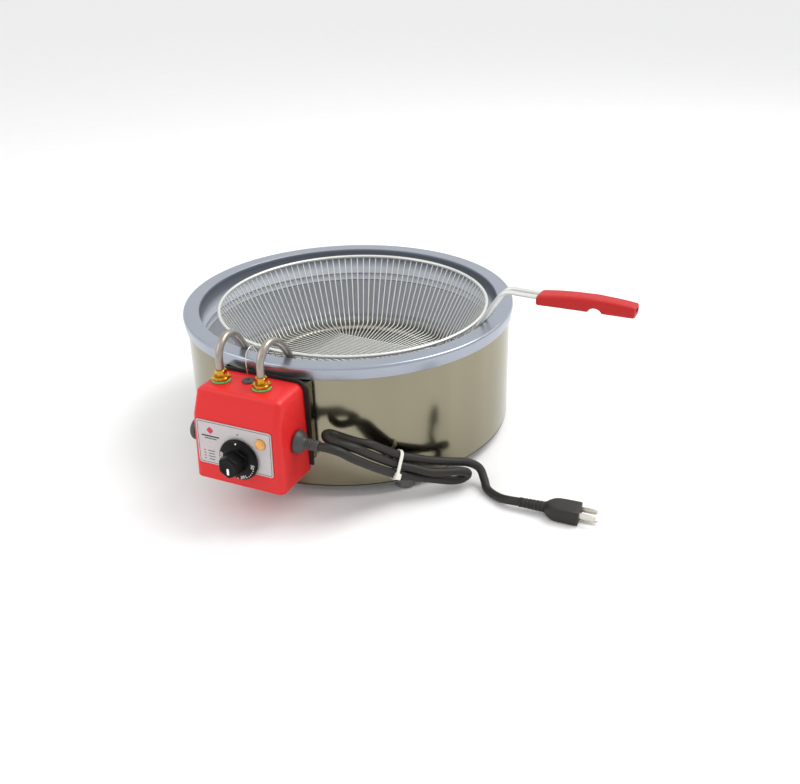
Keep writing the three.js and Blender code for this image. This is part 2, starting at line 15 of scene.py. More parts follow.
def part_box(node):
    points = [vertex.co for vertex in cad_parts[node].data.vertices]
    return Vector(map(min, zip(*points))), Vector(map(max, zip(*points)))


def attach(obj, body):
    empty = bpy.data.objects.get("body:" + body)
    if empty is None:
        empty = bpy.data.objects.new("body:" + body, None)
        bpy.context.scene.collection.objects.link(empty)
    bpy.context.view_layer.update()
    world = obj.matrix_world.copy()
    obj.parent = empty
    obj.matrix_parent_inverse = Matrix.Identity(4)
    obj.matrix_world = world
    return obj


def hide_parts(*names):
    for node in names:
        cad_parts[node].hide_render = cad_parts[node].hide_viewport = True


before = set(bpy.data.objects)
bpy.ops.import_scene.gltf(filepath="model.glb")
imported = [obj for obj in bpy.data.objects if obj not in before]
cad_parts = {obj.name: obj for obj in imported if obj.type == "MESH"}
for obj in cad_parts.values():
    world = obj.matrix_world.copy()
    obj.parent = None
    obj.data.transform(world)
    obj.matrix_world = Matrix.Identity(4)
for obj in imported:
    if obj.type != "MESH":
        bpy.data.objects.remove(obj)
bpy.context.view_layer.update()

# %% [markdown]
# ## Units and reference sizes
# Blender works in metres, and a fryer is easier to think of in millimetres, so `MM` turns one into
# the other. The heights of the rim and the floor are read from the frame, so they can't drift
# from the CAD. `linked` gives any Blender data an object in the scene.

# %% Reference sizes
MM = 0.001
RIM_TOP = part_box("oil_pan")[1].z
FLOOR_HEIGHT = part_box("foot_front_right")[0].z
CORNERS = ("front_right", "back_right", "back_left", "front_left")
print(f"rim {RIM_TOP * 1000:.1f} mm above the base, floor at {FLOOR_HEIGHT * 1000:.1f} mm")


def linked(name, data):
    """A new object that shows the data, linked into the scene."""
    made = bpy.data.objects.new(name, data)
    bpy.context.scene.collection.objects.link(made)
    return made



# %% [markdown]
# ## The camera
# The camera stands in front of the control box, a little to its right and well above the rim. A
# camera's own axes are the columns of its matrix: right, up, and the way back from what it sees.
# They are squared up against each other so that the matrix is a pure turn.

# %% Camera
SENSOR_WIDTH, FOCAL_LENGTH = 36, 41.17
CAMERA_PLACE = (0.4948, -0.9257, 0.5609)
CAMERA_BACK, CAMERA_UP = (0.37284, -0.80495, 0.46157), (-0.17374, 0.42808, 0.88688)
camera_data = bpy.data.cameras.new("camera")
camera_data.sensor_width, camera_data.lens = SENSOR_WIDTH, FOCAL_LENGTH
camera = linked("camera", camera_data)
camera_back = Vector(CAMERA_BACK).normalized()
camera_right = Vector(CAMERA_UP).cross(camera_back).normalized()
camera_up = camera_back.cross(camera_right)
camera_turn = Matrix((camera_right, camera_up, camera_back)).transposed()
camera.matrix_world = Matrix.Translation(CAMERA_PLACE) @ camera_turn.to_4x4()
bpy.context.scene.camera = camera
print("camera stands", round(camera.location.length, 3), "m from the middle of the base")


# %% [markdown]
# ## Surfaces from grids
# Nearly every piece here is a grid of points: rows run along the piece and columns go round it.
# A grid is quick to compute as whole arrays, its faces are even quads, and the same function then
# turns any grid into a mesh. The columns go anticlockwise seen from the last row, which makes
# every face point outwards.

# %% Grids to mesh pieces
def sheet_of(points, around=True, along=False, caps=(True, True)):
    """Vertices and faces of a grid.

    Point (i, j) is vertex i * columns + j, and a face joins rows i and i + 1 with columns j and
    j + 1. `around` closes the columns, `along` closes the rows, and a cap closes an end row.
    """
    rows, columns = points.shape[:2]
    i, j = np.meshgrid(np.arange(rows - (not along)), np.arange(columns - (not around)), indexing="ij")
    next_i, next_j = (i + 1) % rows, (j + 1) % columns
    corners = [i * columns + j, i * columns + next_j, next_i * columns + next_j, next_i * columns + j]
    faces = np.stack(corners, -1).reshape(-1, 4).tolist()
    if around and not along:
        if caps[0]:
            faces.append(list(range(columns - 1, -1, -1)))
        if caps[1]:
            faces.append(list(range((rows - 1) * columns, rows * columns)))
    return points.reshape(-1, 3), faces


def piece(name, sheets, body, finish, nodes=(), crease=35, merge=1e-6):
    """A finished piece from one or more sheets, riding on a CAD body in place of some CAD nodes.

    Points closer than `merge` become one, which closes poles, and edges sharper than `crease`
    degrees stay crisp while the rest are shaded smooth.
    """
    vertices, faces, first = [], [], 0
    for points, quads in sheets:
        vertices.append(points)
        faces += [[first + corner for corner in face] for face in quads]
        first += len(points)
    mesh = bpy.data.meshes.new(name)
    mesh.from_pydata(np.concatenate(vertices).tolist(), [], faces)
    made = linked(name, mesh)
    weld(mesh, merge)
    mesh.shade_smooth()
    mesh.set_sharp_from_angle(angle=math.radians(crease))
    mesh.materials.append(finish)
    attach(made, body)
    if nodes:
        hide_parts(*nodes)
    print(f"{name}: {len(mesh.polygons)} faces")
    return made


def weld(mesh, distance):
    """Merges the points that lie on each other and drops the faces that this leaves flat."""
    work = bmesh.new()
    work.from_mesh(mesh)
    bmesh.ops.remove_doubles(work, verts=work.verts, dist=distance)
    bmesh.ops.dissolve_degenerate(work, dist=distance, edges=work.edges)
    work.to_mesh(mesh)
    work.free()


# %% [markdown]
# ## Turned, drawn and bent shapes
# Three ways of making a grid cover almost everything: a profile turned about an axis, a section
# carried along a path, and a path that runs smoothly through a few points. Sharp corners of a
# profile are softened first, because real edges catch the light on a small radius.

# %% Profiles and turning
def softened(corners, radius, steps=4):
    """An outline with its inner corners rounded.

    Each corner C is replaced by the curve (1-t)^2 A + 2t(1-t) C + t^2 B, where A and B lie
    `radius` before and after it, or halfway to the next corner where that is nearer.
    """
    corners = np.array(corners, float)
    radii = np.broadcast_to(radius, len(corners))
    share = np.linspace(0, 1, steps)[:, None]
    line = [corners[:1]]
    for before, corner, after, reach in zip(corners, corners[1:], corners[2:], radii[1:]):
        back, ahead = before - corner, after - corner
        back_length, ahead_length = np.linalg.norm(back), np.linalg.norm(ahead)
        reach = min(reach, 0.49 * back_length, 0.49 * ahead_length)
        start, end = corner + back * reach / back_length, corner + ahead * reach / ahead_length
        line.append((1 - share) ** 2 * start + 2 * share * (1 - share) * corner + share**2 * end)
    return np.concatenate(line + [corners[-1:]])


def turned(profile, segments):
    """A profile of [radius, height] turned about +Z: x = r cos a, y = r sin a, z = height."""
    angle = np.arange(segments) * 2 * np.pi / segments
    radius, height = np.array(profile, float).T
    flat = [radius[:, None] * np.cos(angle), radius[:, None] * np.sin(angle)]
    return np.stack([*flat, np.repeat(height[:, None], segments, 1)], -1)


def placed(points, origin, x_axis=(1, 0, 0), y_axis=(0, 1, 0), z_axis=(0, 0, 1)):
    """Points moved from their own axes to the frame's: origin + x X + y Y + z Z."""
    return np.array(origin, float) + points @ np.array([x_axis, y_axis, z_axis], float)


# %% Paths and sections
def smooth_path(points, spacing):
    """A centripetal Catmull-Rom curve through the points, sampled every `spacing`.

    Between two points the curve is a blend of three straight blends, with knots the square
    root of each distance apart; a mirrored point stands before the first and after the last.
    """
    points = np.array(points, float)
    points = np.concatenate([2 * points[:1] - points[1:2], points, 2 * points[-1:] - points[-2:-1]])
    knots = np.concatenate([[0], np.cumsum(np.linalg.norm(np.diff(points, axis=0), axis=1) ** 0.5)])
    line = []
    for first in range(len(points) - 3):
        p, k = points[first:first + 4], knots[first:first + 4]
        count = max(2, int(np.ceil(np.linalg.norm(p[2] - p[1]) / spacing)) + 1)
        t = np.linspace(k[1], k[2], count)[:-1, None]
        a = [((k[n + 1] - t) * p[n] + (t - k[n]) * p[n + 1]) / (k[n + 1] - k[n]) for n in range(3)]
        b = [((k[n + 2] - t) * a[n] + (t - k[n]) * a[n + 1]) / (k[n + 2] - k[n]) for n in range(2)]
        line.append(((k[2] - t) * b[0] + (t - k[1]) * b[1]) / (k[2] - k[1]))
    return np.concatenate(line + [points[-2:-1]])


def path_length(path):
    return float(np.linalg.norm(np.diff(path, axis=0), axis=1).sum())


def path_axes(path, closed=False):
    """Two axes square to the path at every station, turned as little as possible on the way."""
    if closed:
        tangent = np.roll(path, -1, 0) - np.roll(path, 1, 0)
    else:
        tangent = np.gradient(path, axis=0)
    tangent /= np.linalg.norm(tangent, axis=1)[:, None]
    start = np.eye(3)[np.argmin(np.abs(tangent[0]))]
    side = np.empty_like(path)
    side[0] = np.cross(tangent[0], start)
    side[0] /= np.linalg.norm(side[0])
    for station in range(1, len(path)):
        side[station] = side[station - 1] - tangent[station] * (side[station - 1] @ tangent[station])
        side[station] /= np.linalg.norm(side[station])
    return side, np.cross(tangent, side), tangent


def tube(path, radius, sides, closed=False):
    """A round tube: path + r cos(a) side + r sin(a) up at every station; r may vary along it."""
    side, up, _ = path_axes(path, closed)
    angle = np.arange(sides) * 2 * np.pi / sides
    radius = np.broadcast_to(radius, len(path))[:, None, None]
    round_it = side[:, None] * np.cos(angle)[:, None] + up[:, None] * np.sin(angle)[:, None]
    return path[:, None] + radius * round_it


def round_ends(path, radius):
    """Radii along a path that close both its ends in a half ball: r sqrt(1 - (1 - s / r)^2)."""
    steps = np.linalg.norm(np.diff(path, axis=0), axis=1)
    run = np.concatenate([[0], np.cumsum(steps)])
    from_end = np.clip(np.minimum(run, run[-1] - run) / radius, 0, 1)
    return radius * np.sqrt(np.maximum(1 - (1 - from_end) ** 2, 0.02))


print("grid, profile and path helpers are ready")


# %% [markdown]
# ## Finishes
# A real surface is never one flat colour. `finish` starts from a Principled BSDF and lets a noise
# on the object's own coordinates move three things a little: the colour, the roughness, and a
# small bump. Stretching the noise along one axis turns it into brushing or drawing lines. Values
# that are the same all over are set on the shader itself.

# %% Finish helper
def linear(red, green, blue):
    """A colour given 0 to 255 a channel, as the linear light that shaders use."""
    return tuple((channel / 255) ** 2.2 for channel in (red, green, blue))


def node_of(tree, kind, **values):
    """A shader node of a kind, with its inputs set by name."""
    node = tree.nodes.new(kind)
    for socket, value in values.items():
        node.inputs[socket.replace("_", " ")].default_value = value
    return node


def ramp_of(tree, stops):
    """A colour ramp through pairs of a place from 0 to 1 and a colour."""
    ramp = tree.nodes.new("ShaderNodeValToRGB")
    elements = ramp.color_ramp.elements
    for index, (place, colour) in enumerate(stops):
        stop = elements[index] if index < 2 else elements.new(place)
        stop.position, stop.color = place, (*colour, 1)
    return ramp


NOISE_LOW, NOISE_HIGH = 0.3, 0.7


def finish(name, colour, roughness, metallic=0.0, scale=400.0, stretch=(1, 1, 1), shift=0.08,
           rough_shift=0.06, bump=0.1, depth=0.0002, shader=()):
    """A material whose colour, roughness and bump follow one noise.

    As the noise goes from NOISE_LOW to NOISE_HIGH, colour runs from colour * (1 - shift) to
    colour * (1 + shift) and roughness from roughness - rough_shift to roughness + rough_shift.
    The bump is the noise itself.
    """
    material = bpy.data.materials.new(name)
    material.use_nodes = True
    tree = material.node_tree
    surface = tree.nodes["Principled BSDF"]
    surface.inputs["Metallic"].default_value = metallic
    for socket, value in dict(shader).items():
        surface.inputs[socket].default_value = value
    where = node_of(tree, "ShaderNodeTexCoord")
    mapping = node_of(tree, "ShaderNodeMapping", Scale=stretch)
    noise = node_of(tree, "ShaderNodeTexNoise", Scale=scale, Detail=5.0, Roughness=0.55)
    tree.links.new(where.outputs["Object"], mapping.inputs["Vector"])
    tree.links.new(mapping.outputs["Vector"], noise.inputs["Vector"])
    dark, light = ([min(c * share, 1) for c in colour] for share in (1 - shift, 1 + shift))
    ramp = ramp_of(tree, [(NOISE_LOW, dark), (NOISE_HIGH, light)])
    tree.links.new(noise.outputs["Fac"], ramp.inputs["Fac"])
    tree.links.new(ramp.outputs["Color"], surface.inputs["Base Color"])
    spread = node_of(tree, "ShaderNodeMapRange", From_Min=NOISE_LOW, From_Max=NOISE_HIGH,
                     To_Min=max(roughness - rough_shift, 0.02), To_Max=min(roughness + rough_shift, 1))
    tree.links.new(noise.outputs["Fac"], spread.inputs["Value"])
    tree.links.new(spread.outputs["Result"], surface.inputs["Roughness"])
    relief = node_of(tree, "ShaderNodeBump", Strength=bump, Distance=depth)
    tree.links.new(noise.outputs["Fac"], relief.inputs["Height"])
    tree.links.new(relief.outputs["Normal"], surface.inputs["Normal"])
    return material


def repaint(material, *nodes):
    """Gives CAD nodes that keep their shape their final material."""
    for node in nodes:
        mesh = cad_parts[node].data
        mesh.materials.clear()
        mesh.materials.append(material)


# %% [markdown]
# ## The mains lead
# The cord is a fixed length of rubber cable. It leaves the gland level, drops along the shell in
# three folded runs that a tie holds together, then makes an S on the table and ends in its plug.
# The points are the CAD route's; a smooth curve through them is the centre line.

# %% Cord
CORD_DIAMETER = 9.5 * MM
CORD_ROUTE = MM * np.array([
    [78.5, -225.6, 78], [89, -225.6, 78], [100, -222.5, 74.5], [110, -215.5, 65.5],
    [118.5, -204, 54.5], [126.5, -189, 41.5], [135.5, -170.5, 27], [148.5, -155.5, 17.5],
    [162.5, -140, 9], [185.5, -115.5, -2.5], [192.5, -110, -1.5],
    [197.3, -108.8, 3.3], [198.5, -113, 9.8], [194, -119.5, 13.8], [168, -142, 19.5],
    [152, -152.5, 26.7], [136.2, -163.2, 34], [126, -182, 49.6], [118.2, -196.8, 62.5],
    [109.5, -207.5, 72.8], [98, -212.5, 77], [86, -213, 78.5], [78, -210.3, 80],
    [73.8, -204, 80], [75, -197, 77.5], [81.5, -192.8, 74], [104, -192.5, 71.5],
    [117.5, -187, 68], [125.1, -175.2, 58], [136.8, -156.8, 42], [149.5, -145, 35],
    [163.5, -131.5, 27.5], [180, -115, 20.5], [195.5, -99.5, 14], [206.5, -94.5, 6.5],
    [214.5, -101, -2], [222.5, -112.5, -6.6], [240, -123.5, -6.4],
    [252.5, -128, -3.9], [264.2, -127.8, -3.2],
])
cord_rubber = finish("cord_rubber", linear(42, 40, 37), 0.5, scale=900, shift=0.15, bump=0.2,
                     depth=0.0001, shader={"Specular IOR Level": 0.35})
cord_path = smooth_path(CORD_ROUTE, 1.5 * MM)
power_cord = piece("power_cord_run", [sheet_of(tube(cord_path, CORD_DIAMETER / 2, 24))],
                   "fryer", cord_rubber, ["power_cord"])
print(f"cord centre line {path_length(cord_path):.3f} m")

# %% [markdown]
# ## The plug
# The plug is one moulding: a strain relief of staggered notches that lets the cord bend gradually,
# then a body that swells from a round neck to a flat-sided block. Both are sections carried along
# the plug's axis. A section is a superellipse: |y/a|^n + |z/b|^n = 1, round at n = 2 and nearly a
# rectangle at n = 6, so one formula makes the neck, the shoulder and the block.

# %% Strain relief and plug body
PLUG_START = MM * np.array([273.4, -127.4, -3.2])
PLUG_TURN = math.radians(2.5)
PLUG_AXES = dict(
    x_axis=(-math.sin(PLUG_TURN), math.cos(PLUG_TURN), 0),
    y_axis=(0, 0, 1),
    z_axis=(math.cos(PLUG_TURN), math.sin(PLUG_TURN), 0),
)


def on_plug(points):
    """The sheet of a grid that is given in the plug's own axes."""
    return sheet_of(placed(points, PLUG_START, **PLUG_AXES))


def superellipse(half_width, half_height, power, sides):
    """Round-cornered sections: x = a |cos|^(2/n) with cos's sign, y = b |sin|^(2/n) with sin's."""
    angle = (np.arange(sides) + 0.5) * 2 * np.pi / sides
    half_width, half_height, power = (np.atleast_1d(v)[:, None] for v in (half_width, half_height, power))
    x = half_width * np.sign(np.cos(angle)) * np.abs(np.cos(angle)) ** (2 / power)
    y = half_height * np.sign(np.sin(angle)) * np.abs(np.sin(angle)) ** (2 / power)
    return x, y


def lofted(stations, half_width, half_height, power, sides, rise=0.0):
    """Superellipse sections stacked along +Z, one to a station, lifted by `rise` along +Y."""
    x, y = superellipse(half_width, half_height, power, sides)
    z = np.repeat(np.asarray(stations, float)[:, None], sides, 1)
    return np.stack([x, y + np.atleast_1d(rise)[:, None], z], -1)


RELIEF_START, RELIEF_END, RELIEF_WAVES = -8.8, 20.0, 7


def notched_relief():
    """A tapering sleeve whose notches alternate: radius loses 1.1 mm where the wave is deep.

    The wave sin(2 pi 7 s) cuts the top and bottom where it is positive and the sides where it
    is negative, so that every notch faces a web of the next one.
    """
    run = np.linspace(0, 1, 130)[:, None]
    angle = np.arange(32) * 2 * np.pi / 32
    wave = np.sin(run * 2 * np.pi * RELIEF_WAVES)
    upright = np.clip(wave, 0, 1) ** 0.5 * np.sin(angle) ** 2
    level = np.clip(-wave, 0, 1) ** 0.5 * np.cos(angle) ** 2
    radius = (5.4 + 1.0 * run - 1.1 * (upright + level) * (run > 0.06) * (run < 0.98)) * MM
    along = (RELIEF_START + (RELIEF_END - RELIEF_START) * run) * MM
    return np.stack([radius * np.cos(angle), radius * np.sin(angle), along + 0 * angle], -1)


BODY_STATIONS = np.array([19.6, 20.4, 22, 24, 26.5, 29, 32, 36, 42, 50, 55.6, 56.6, 57])
BODY_WIDTHS = np.array([6.2, 7, 8.6, 10.2, 11.5, 12.2, 12.5, 12.5, 12.5, 12.5, 12.5, 12.2, 11.6])
BODY_HEIGHTS = np.array([6, 6.6, 7.4, 7.9, 8.2, 8.4, 8.5, 8.5, 8.5, 8.5, 8.5, 8.2, 7.6])
BODY_POWERS = np.array([2, 2, 2.4, 3, 3.8, 4.8, 6, 7, 8, 8, 8, 8, 8])
plug_points = lofted(BODY_STATIONS * MM, BODY_WIDTHS * MM, BODY_HEIGHTS * MM, BODY_POWERS, 48)
plug_relief = piece("plug_relief", [on_plug(notched_relief())], "fryer", cord_rubber,
                    ["plug_strain_relief"], crease=50)
plug_block = piece("plug_block", [on_plug(plug_points)], "fryer", cord_rubber,
                   ["plug_body"])

# %% [markdown]
# ## The plug's pins
# Two flat blades with rounded tips and a round earth pin with a domed end, in nickelled brass.

# %% Pins
pin_metal = finish("nickelled_pin", linear(205, 202, 192), 0.25, metallic=1.0, scale=900,
                   stretch=(1, 12, 12), shift=0.05, bump=0.05)


BLADE_HALF_THICK, BLADE_HALF_WIDE = 0.75 * MM, 3.15 * MM
BLADE_ASIDE, BLADE_RAISE, EARTH_DROP = 6.3, 2, 5
BLADE_TIP = 71.3


def blade(side):
    """A blade lofted along the plug's axis: its width follows a half ellipse over the last 3 mm."""
    run = np.array([57.0, 60, 66, BLADE_TIP, 72.6, 73.5, 74.1, 74.3])
    narrow = np.sqrt(np.clip(1 - (np.clip(run - BLADE_TIP, 0, 3) / 3.1) ** 2, 0.05, 1))
    every = np.ones(len(run))
    points = lofted(run * MM, BLADE_HALF_THICK * every, BLADE_HALF_WIDE * narrow, 8.0 * every, 20)
    points[..., 0] += side * BLADE_ASIDE * MM
    points[..., 1] += BLADE_RAISE * MM
    return points


pin_profile = MM * softened([[0, 57], [2.2, 57], [2.2, 74.2], [1.4, 75.8], [0, 76.2]], 1.2)
earth_pin = turned(pin_profile, 20)
earth_pin[..., 1] -= EARTH_DROP * MM
plug_pins = [piece(name, [on_plug(points)], "fryer", pin_metal, [node])
             for name, node, points in (("blade_left", "plug_blade_left", blade(1)),
                                        ("blade_right", "plug_blade_right", blade(-1)),
                                        ("earth_pin", "plug_ground_pin", earth_pin))]

# %% [markdown]
# ## The cable tie
# A nylon tie holds the three runs. Its band is a rectangle carried round a stadium that just
# clears the cords, and its head sits low at the front.

# %% Cable tie
tie_nylon = finish("tie_nylon", linear(226, 224, 214), 0.38, scale=700, shift=0.05, bump=0.12,
                   shader={"Subsurface Weight": 0.15, "Subsurface Radius": (0.002, 0.002, 0.002)})
TIE_CENTRE = MM * np.array([136.2, -163.4, 34.2])
tie_along = np.array([14, 14.6, -10.6])
tie_along /= np.linalg.norm(tie_along)
tie_stack = np.array([1.2, 12.6, 15.2])
tie_stack = tie_stack - tie_along * (tie_stack @ tie_along)
tie_stack /= np.linalg.norm(tie_stack)
tie_across = np.cross(tie_stack, tie_along)
TIE_AXES = dict(x_axis=tie_across, y_axis=tie_stack, z_axis=tie_along)


def stadium(reach, radius, steps):
    """Two half circles about (0, reach) and (0, -reach), as one closed line."""
    turn = np.linspace(0, np.pi, steps)
    top = np.stack([radius * np.cos(turn), reach + radius * np.sin(turn)], -1)
    return np.concatenate([top, -top])


def tie_band():
    """The band's section, a thin rectangle with softened edges, carried round the stadium."""
    section = MM * np.array([[0, -1.7], [0.3, -2], [1, -2], [1.3, -1.7], [1.3, 1.7], [1, 2],
                             [0.3, 2], [0, 1.7]])
    line = MM * stadium(10, 5.35, 17)
    away = stadium(0, 1, 17)
    flat = line[:, None] + away[:, None] * section[:, :1]
    return np.concatenate([flat, np.repeat(section[None, :, 1:], len(line), 0)], -1)


tie_head = lofted(MM * np.array([-3.4, -3, -2, 2, 3, 3.4]), MM * np.array([2, 2.8, 3.2, 3.2, 2.8, 2]),
                  MM * np.array([2.4, 3.2, 3.6, 3.6, 3.2, 2.4]), np.full(6, 6.0), 24)
tie_head += MM * np.array([-6.6, -12.5, 0])
cord_tie = piece("cord_tie", [sheet_of(placed(tie_band(), TIE_CENTRE, **TIE_AXES), along=True),
                              sheet_of(placed(tie_head, TIE_CENTRE, **TIE_AXES))],
                 "fryer", tie_nylon, ["cable_tie"])

# %% [markdown]
# ## The pan
# The pan is drawn from one sheet of aluminium: a deep bowl, a flat rim, and a skirt turned down
# over the shell. It is a turned profile, walked up the outside and back down the inside, so its
# faces point outwards. Two low ridges on the inner wall mark the oil levels. The rim is polished
# metal; the inside is duller, and its colour is set by height, from the floor to the neck, with
# painted shade on the floor and in the band just under the rim.

# %% Oil pan
LEVEL_LINES = (114, 104.5)
PAN_SIDES = 192
WALL_FOOT, WALL_HEAD = np.array([177.7, 48]), np.array([179.7, 138])


def level_ridges():
    """The inner wall from the top down: a straight line that steps in 0.5 mm at each level."""
    line = [WALL_HEAD]
    for height in LEVEL_LINES:
        share = (height - WALL_FOOT[1]) / (WALL_HEAD[1] - WALL_FOOT[1])
        wall = WALL_FOOT[0] + share * (WALL_HEAD[0] - WALL_FOOT[0])
        line += [[wall, height + 0.8], [wall - 0.3, height + 0.3], [wall - 0.3, height - 0.3],
                 [wall, height - 0.8]]
    return np.array(line)


pan_outside = [[0, 32], [160, 32], [172, 36], [180, 48], [182.5, 144], [185, 147], [196.2, 147],
               [197.6, 144], [197, 134], [198.4, 134], [200, 145.6], [198.8, 149], [184, 149],
               [180.6, 149], [179.9, 144]]
pan_profile = MM * np.concatenate([
    softened(pan_outside, [0, 3, 5, 6, 2, 2, 1.5, 1.5, 0.6, 0.6, 1.5, 2.4, 1, 2.2, 0], 6),
    level_ridges(),
    softened([WALL_FOOT + [0.1, 4], WALL_FOOT, [170.5, 37.6], [159, 34], [0, 34]], [0, 4, 8, 8, 0], 8),
])
aluminium = finish("spun_aluminium", linear(160, 166, 177), 0.33, metallic=0.9, scale=60,
                   stretch=(1, 1, 9), shift=0.02, rough_shift=0.02, bump=0.01)


def paint_inside_lines_and_shade(material, stops):
    """Colours the pan's inside by height from the stops, which carry the painted shade of its floor and of
    the band under its rim, and makes it duller than the polished rim.

    The mask is 1 where the distance from the axis, sqrt(x^2 + y^2), is under 180 mm and falls
    to 0 at 181.5 mm. Metallic and roughness change over the same span. `stops` are pairs of a
    height in millimetres and a colour.
    """
    tree = material.node_tree
    surface, where = tree.nodes["Principled BSDF"], tree.nodes["Texture Coordinate"]
    split = tree.nodes.new("ShaderNodeSeparateXYZ")
    flat = tree.nodes.new("ShaderNodeCombineXYZ")
    distance = tree.nodes.new("ShaderNodeVectorMath")
    distance.operation = "LENGTH"
    tree.links.new(where.outputs["Object"], split.inputs["Vector"])
    for axis in "XY":
        tree.links.new(split.outputs[axis], flat.inputs[axis])
    tree.links.new(flat.outputs["Vector"], distance.inputs[0])
    height = tree.nodes.new("ShaderNodeMath")
    height.operation = "DIVIDE"
    height.inputs[1].default_value = RIM_TOP
    tree.links.new(split.outputs["Z"], height.inputs[0])
    ramp = ramp_of(tree, [(level * MM / RIM_TOP, colour) for level, colour in stops])
    tree.links.new(height.outputs["Value"], ramp.inputs["Fac"])
    blend = tree.nodes.new("ShaderNodeMix")
    blend.data_type = "RGBA"
    polished = surface.inputs["Base Color"].links[0].from_socket
    tree.links.new(polished, blend.inputs[6])
    tree.links.new(ramp.outputs["Color"], blend.inputs[7])
    tree.links.new(blend.outputs[2], surface.inputs["Base Color"])
    for low, high, target in ((1, 0, blend.inputs[0]), (0.15, 0.9, surface.inputs["Metallic"]),
                              (0.5, 0.3, surface.inputs["Roughness"])):
        mask = node_of(tree, "ShaderNodeMapRange", From_Min=180 * MM, From_Max=181.5 * MM,
                       To_Min=low, To_Max=high)
        tree.links.new(distance.outputs["Value"], mask.inputs["Value"])
        tree.links.new(mask.outputs["Result"], target)


wall_colour, line_colour = linear(204, 209, 219), linear(122, 126, 134)
# Painted shade: the pan's floor gets a darker colour than its wall.
pan_floor_shade = linear(92, 90, 80)
level_stops = [(level + step, colour) for level in LEVEL_LINES[::-1] for step, colour in (
    (-0.7, wall_colour), (-0.4, line_colour), (0.4, line_colour), (0.7, wall_colour))]
# Painted shade: the stops from 20 to 56 mm darken the floor and fade into the wall, and the stops at 134 and
# 147 mm darken the band just under the rim.
paint_inside_lines_and_shade(aluminium, [(20, pan_floor_shade), (40, pan_floor_shade), (56, wall_colour), *level_stops,
                       (122, wall_colour), (134, linear(112, 117, 128)), (147, linear(70, 75, 86))])
piece("drawn_pan", [sheet_of(turned(pan_profile, PAN_SIDES))], "fryer", aluminium,
      ["oil_pan"], crease=40)

# %% [markdown]
# ## The shell and base
# The shell is polished stainless sheet with a warm tint, and the base plate closes it below. Both
# are turned. The shell's edge is folded a little at the foot, which gives its soft bottom line.

# %% Shell and base plate
shell_steel = finish("shell_steel", linear(137, 132, 113), 0.17, metallic=1.0, scale=14,
                     stretch=(1, 1, 0.02), shift=0.07, rough_shift=0.03, bump=0.01)
base_steel = finish("base_steel", linear(150, 148, 140), 0.4, metallic=0.9, scale=250, shift=0.1)
shell_profile = MM * softened([[194.6, 2.2], [195, 1.9], [196, 3], [196, 146.7], [194.6, 146.7],
                               [194.6, 2.2]], [0, 0.3, 1, 0.3, 0.3, 0], 4)
piece("polished_shell", [sheet_of(turned(shell_profile, PAN_SIDES))], "fryer", shell_steel,
      ["outer_shell"], crease=50)
base_profile = MM * softened([[0, 0], [195.2, 0], [196, 1.5], [0, 1.5]], [0, 0.5, 0.4, 0], 4)
piece("base_disc", [sheet_of(turned(base_profile, PAN_SIDES))], "fryer", base_steel,
      ["base_plate"])

# %% [markdown]
# ## The feet
# Four moulded rubber feet, each with a softened rim and a counterbore for its screw. One function
# makes them all, and each takes its place from the middle of its CAD node's box.

# %% Feet
foot_rubber = finish("foot_rubber", linear(96, 97, 96), 0.55, scale=500, shift=0.1, bump=0.2)
FOOT_PROFILE = MM * softened([
    [2.3, 7], [5, 7], [5, 0], [9.6, 0], [11, 1.2], [11, 10.6], [9.8, 11.7], [2.3, 11.7], [2.3, 7],
], 0.8, 4)


def middle_of(node):
    """The middle of a CAD node's box across X and Y, at the height of its lowest point."""
    low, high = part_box(node)
    return np.array([(low.x + high.x) / 2, (low.y + high.y) / 2, low.z])


for corner in CORNERS:
    foot = placed(turned(FOOT_PROFILE, 48), middle_of(f"foot_{corner}"))
    piece(f"rubber_foot_{corner}", [sheet_of(foot, along=False, caps=(False, False))], "fryer",
          foot_rubber, [f"foot_{corner}"])

# %% [markdown]
# ## The control box
# The box is a moulded cover with an open back. Every horizontal slice of it is the same U: up one
# side, round a corner, across the front, round the other corner and back. So the surface is a U
# whose half width, front and height change from row to row: out across the bottom, up the walls,
# over the soft top edges, and in across the flat top.

# %% Control box surface
BOX_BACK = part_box("control_box")[1].y / MM
BOX_BOTTOM, BOX_TOP = 30.5, 134.0
BOX_DEPTH, CORNER = 51, 6.5
SIDE_EDGE, FRONT_EDGE = 9.0, 5.0
BOX_HALF, BOX_HALF_ABOVE = 52.0, 50.0
LEFT_BACK, LEFT_FRONT = 53.0, 56.5
FRONT_FOOT, CREASE, CREASE_SOFTNESS = -260.8, 105, 1.6
LOWER_SLOPE, UPPER_SLOPE = 0.0376, 9.6 / 26


def box_width(height):
    """Half the box's width: it narrows evenly from 52 at the bottom to 50 at the top edge."""
    return np.interp(height, [BOX_BOTTOM, BOX_TOP - SIDE_EDGE], [BOX_HALF, BOX_HALF_ABOVE])


def box_front(height):
    """The front's y: two sloping planes blended over a few millimetres about the crease at 105.

    The upper plane leans back faster: y = lower plane + slope change * s log(1 + exp(h / s)),
    with h the height above the crease and s its softness.
    """
    lower = FRONT_FOOT + (height - BOX_BOTTOM) * LOWER_SLOPE
    blend = CREASE_SOFTNESS * np.log1p(np.exp((height - CREASE) / CREASE_SOFTNESS))
    return lower + (UPPER_SLOPE - LOWER_SLOPE) * blend


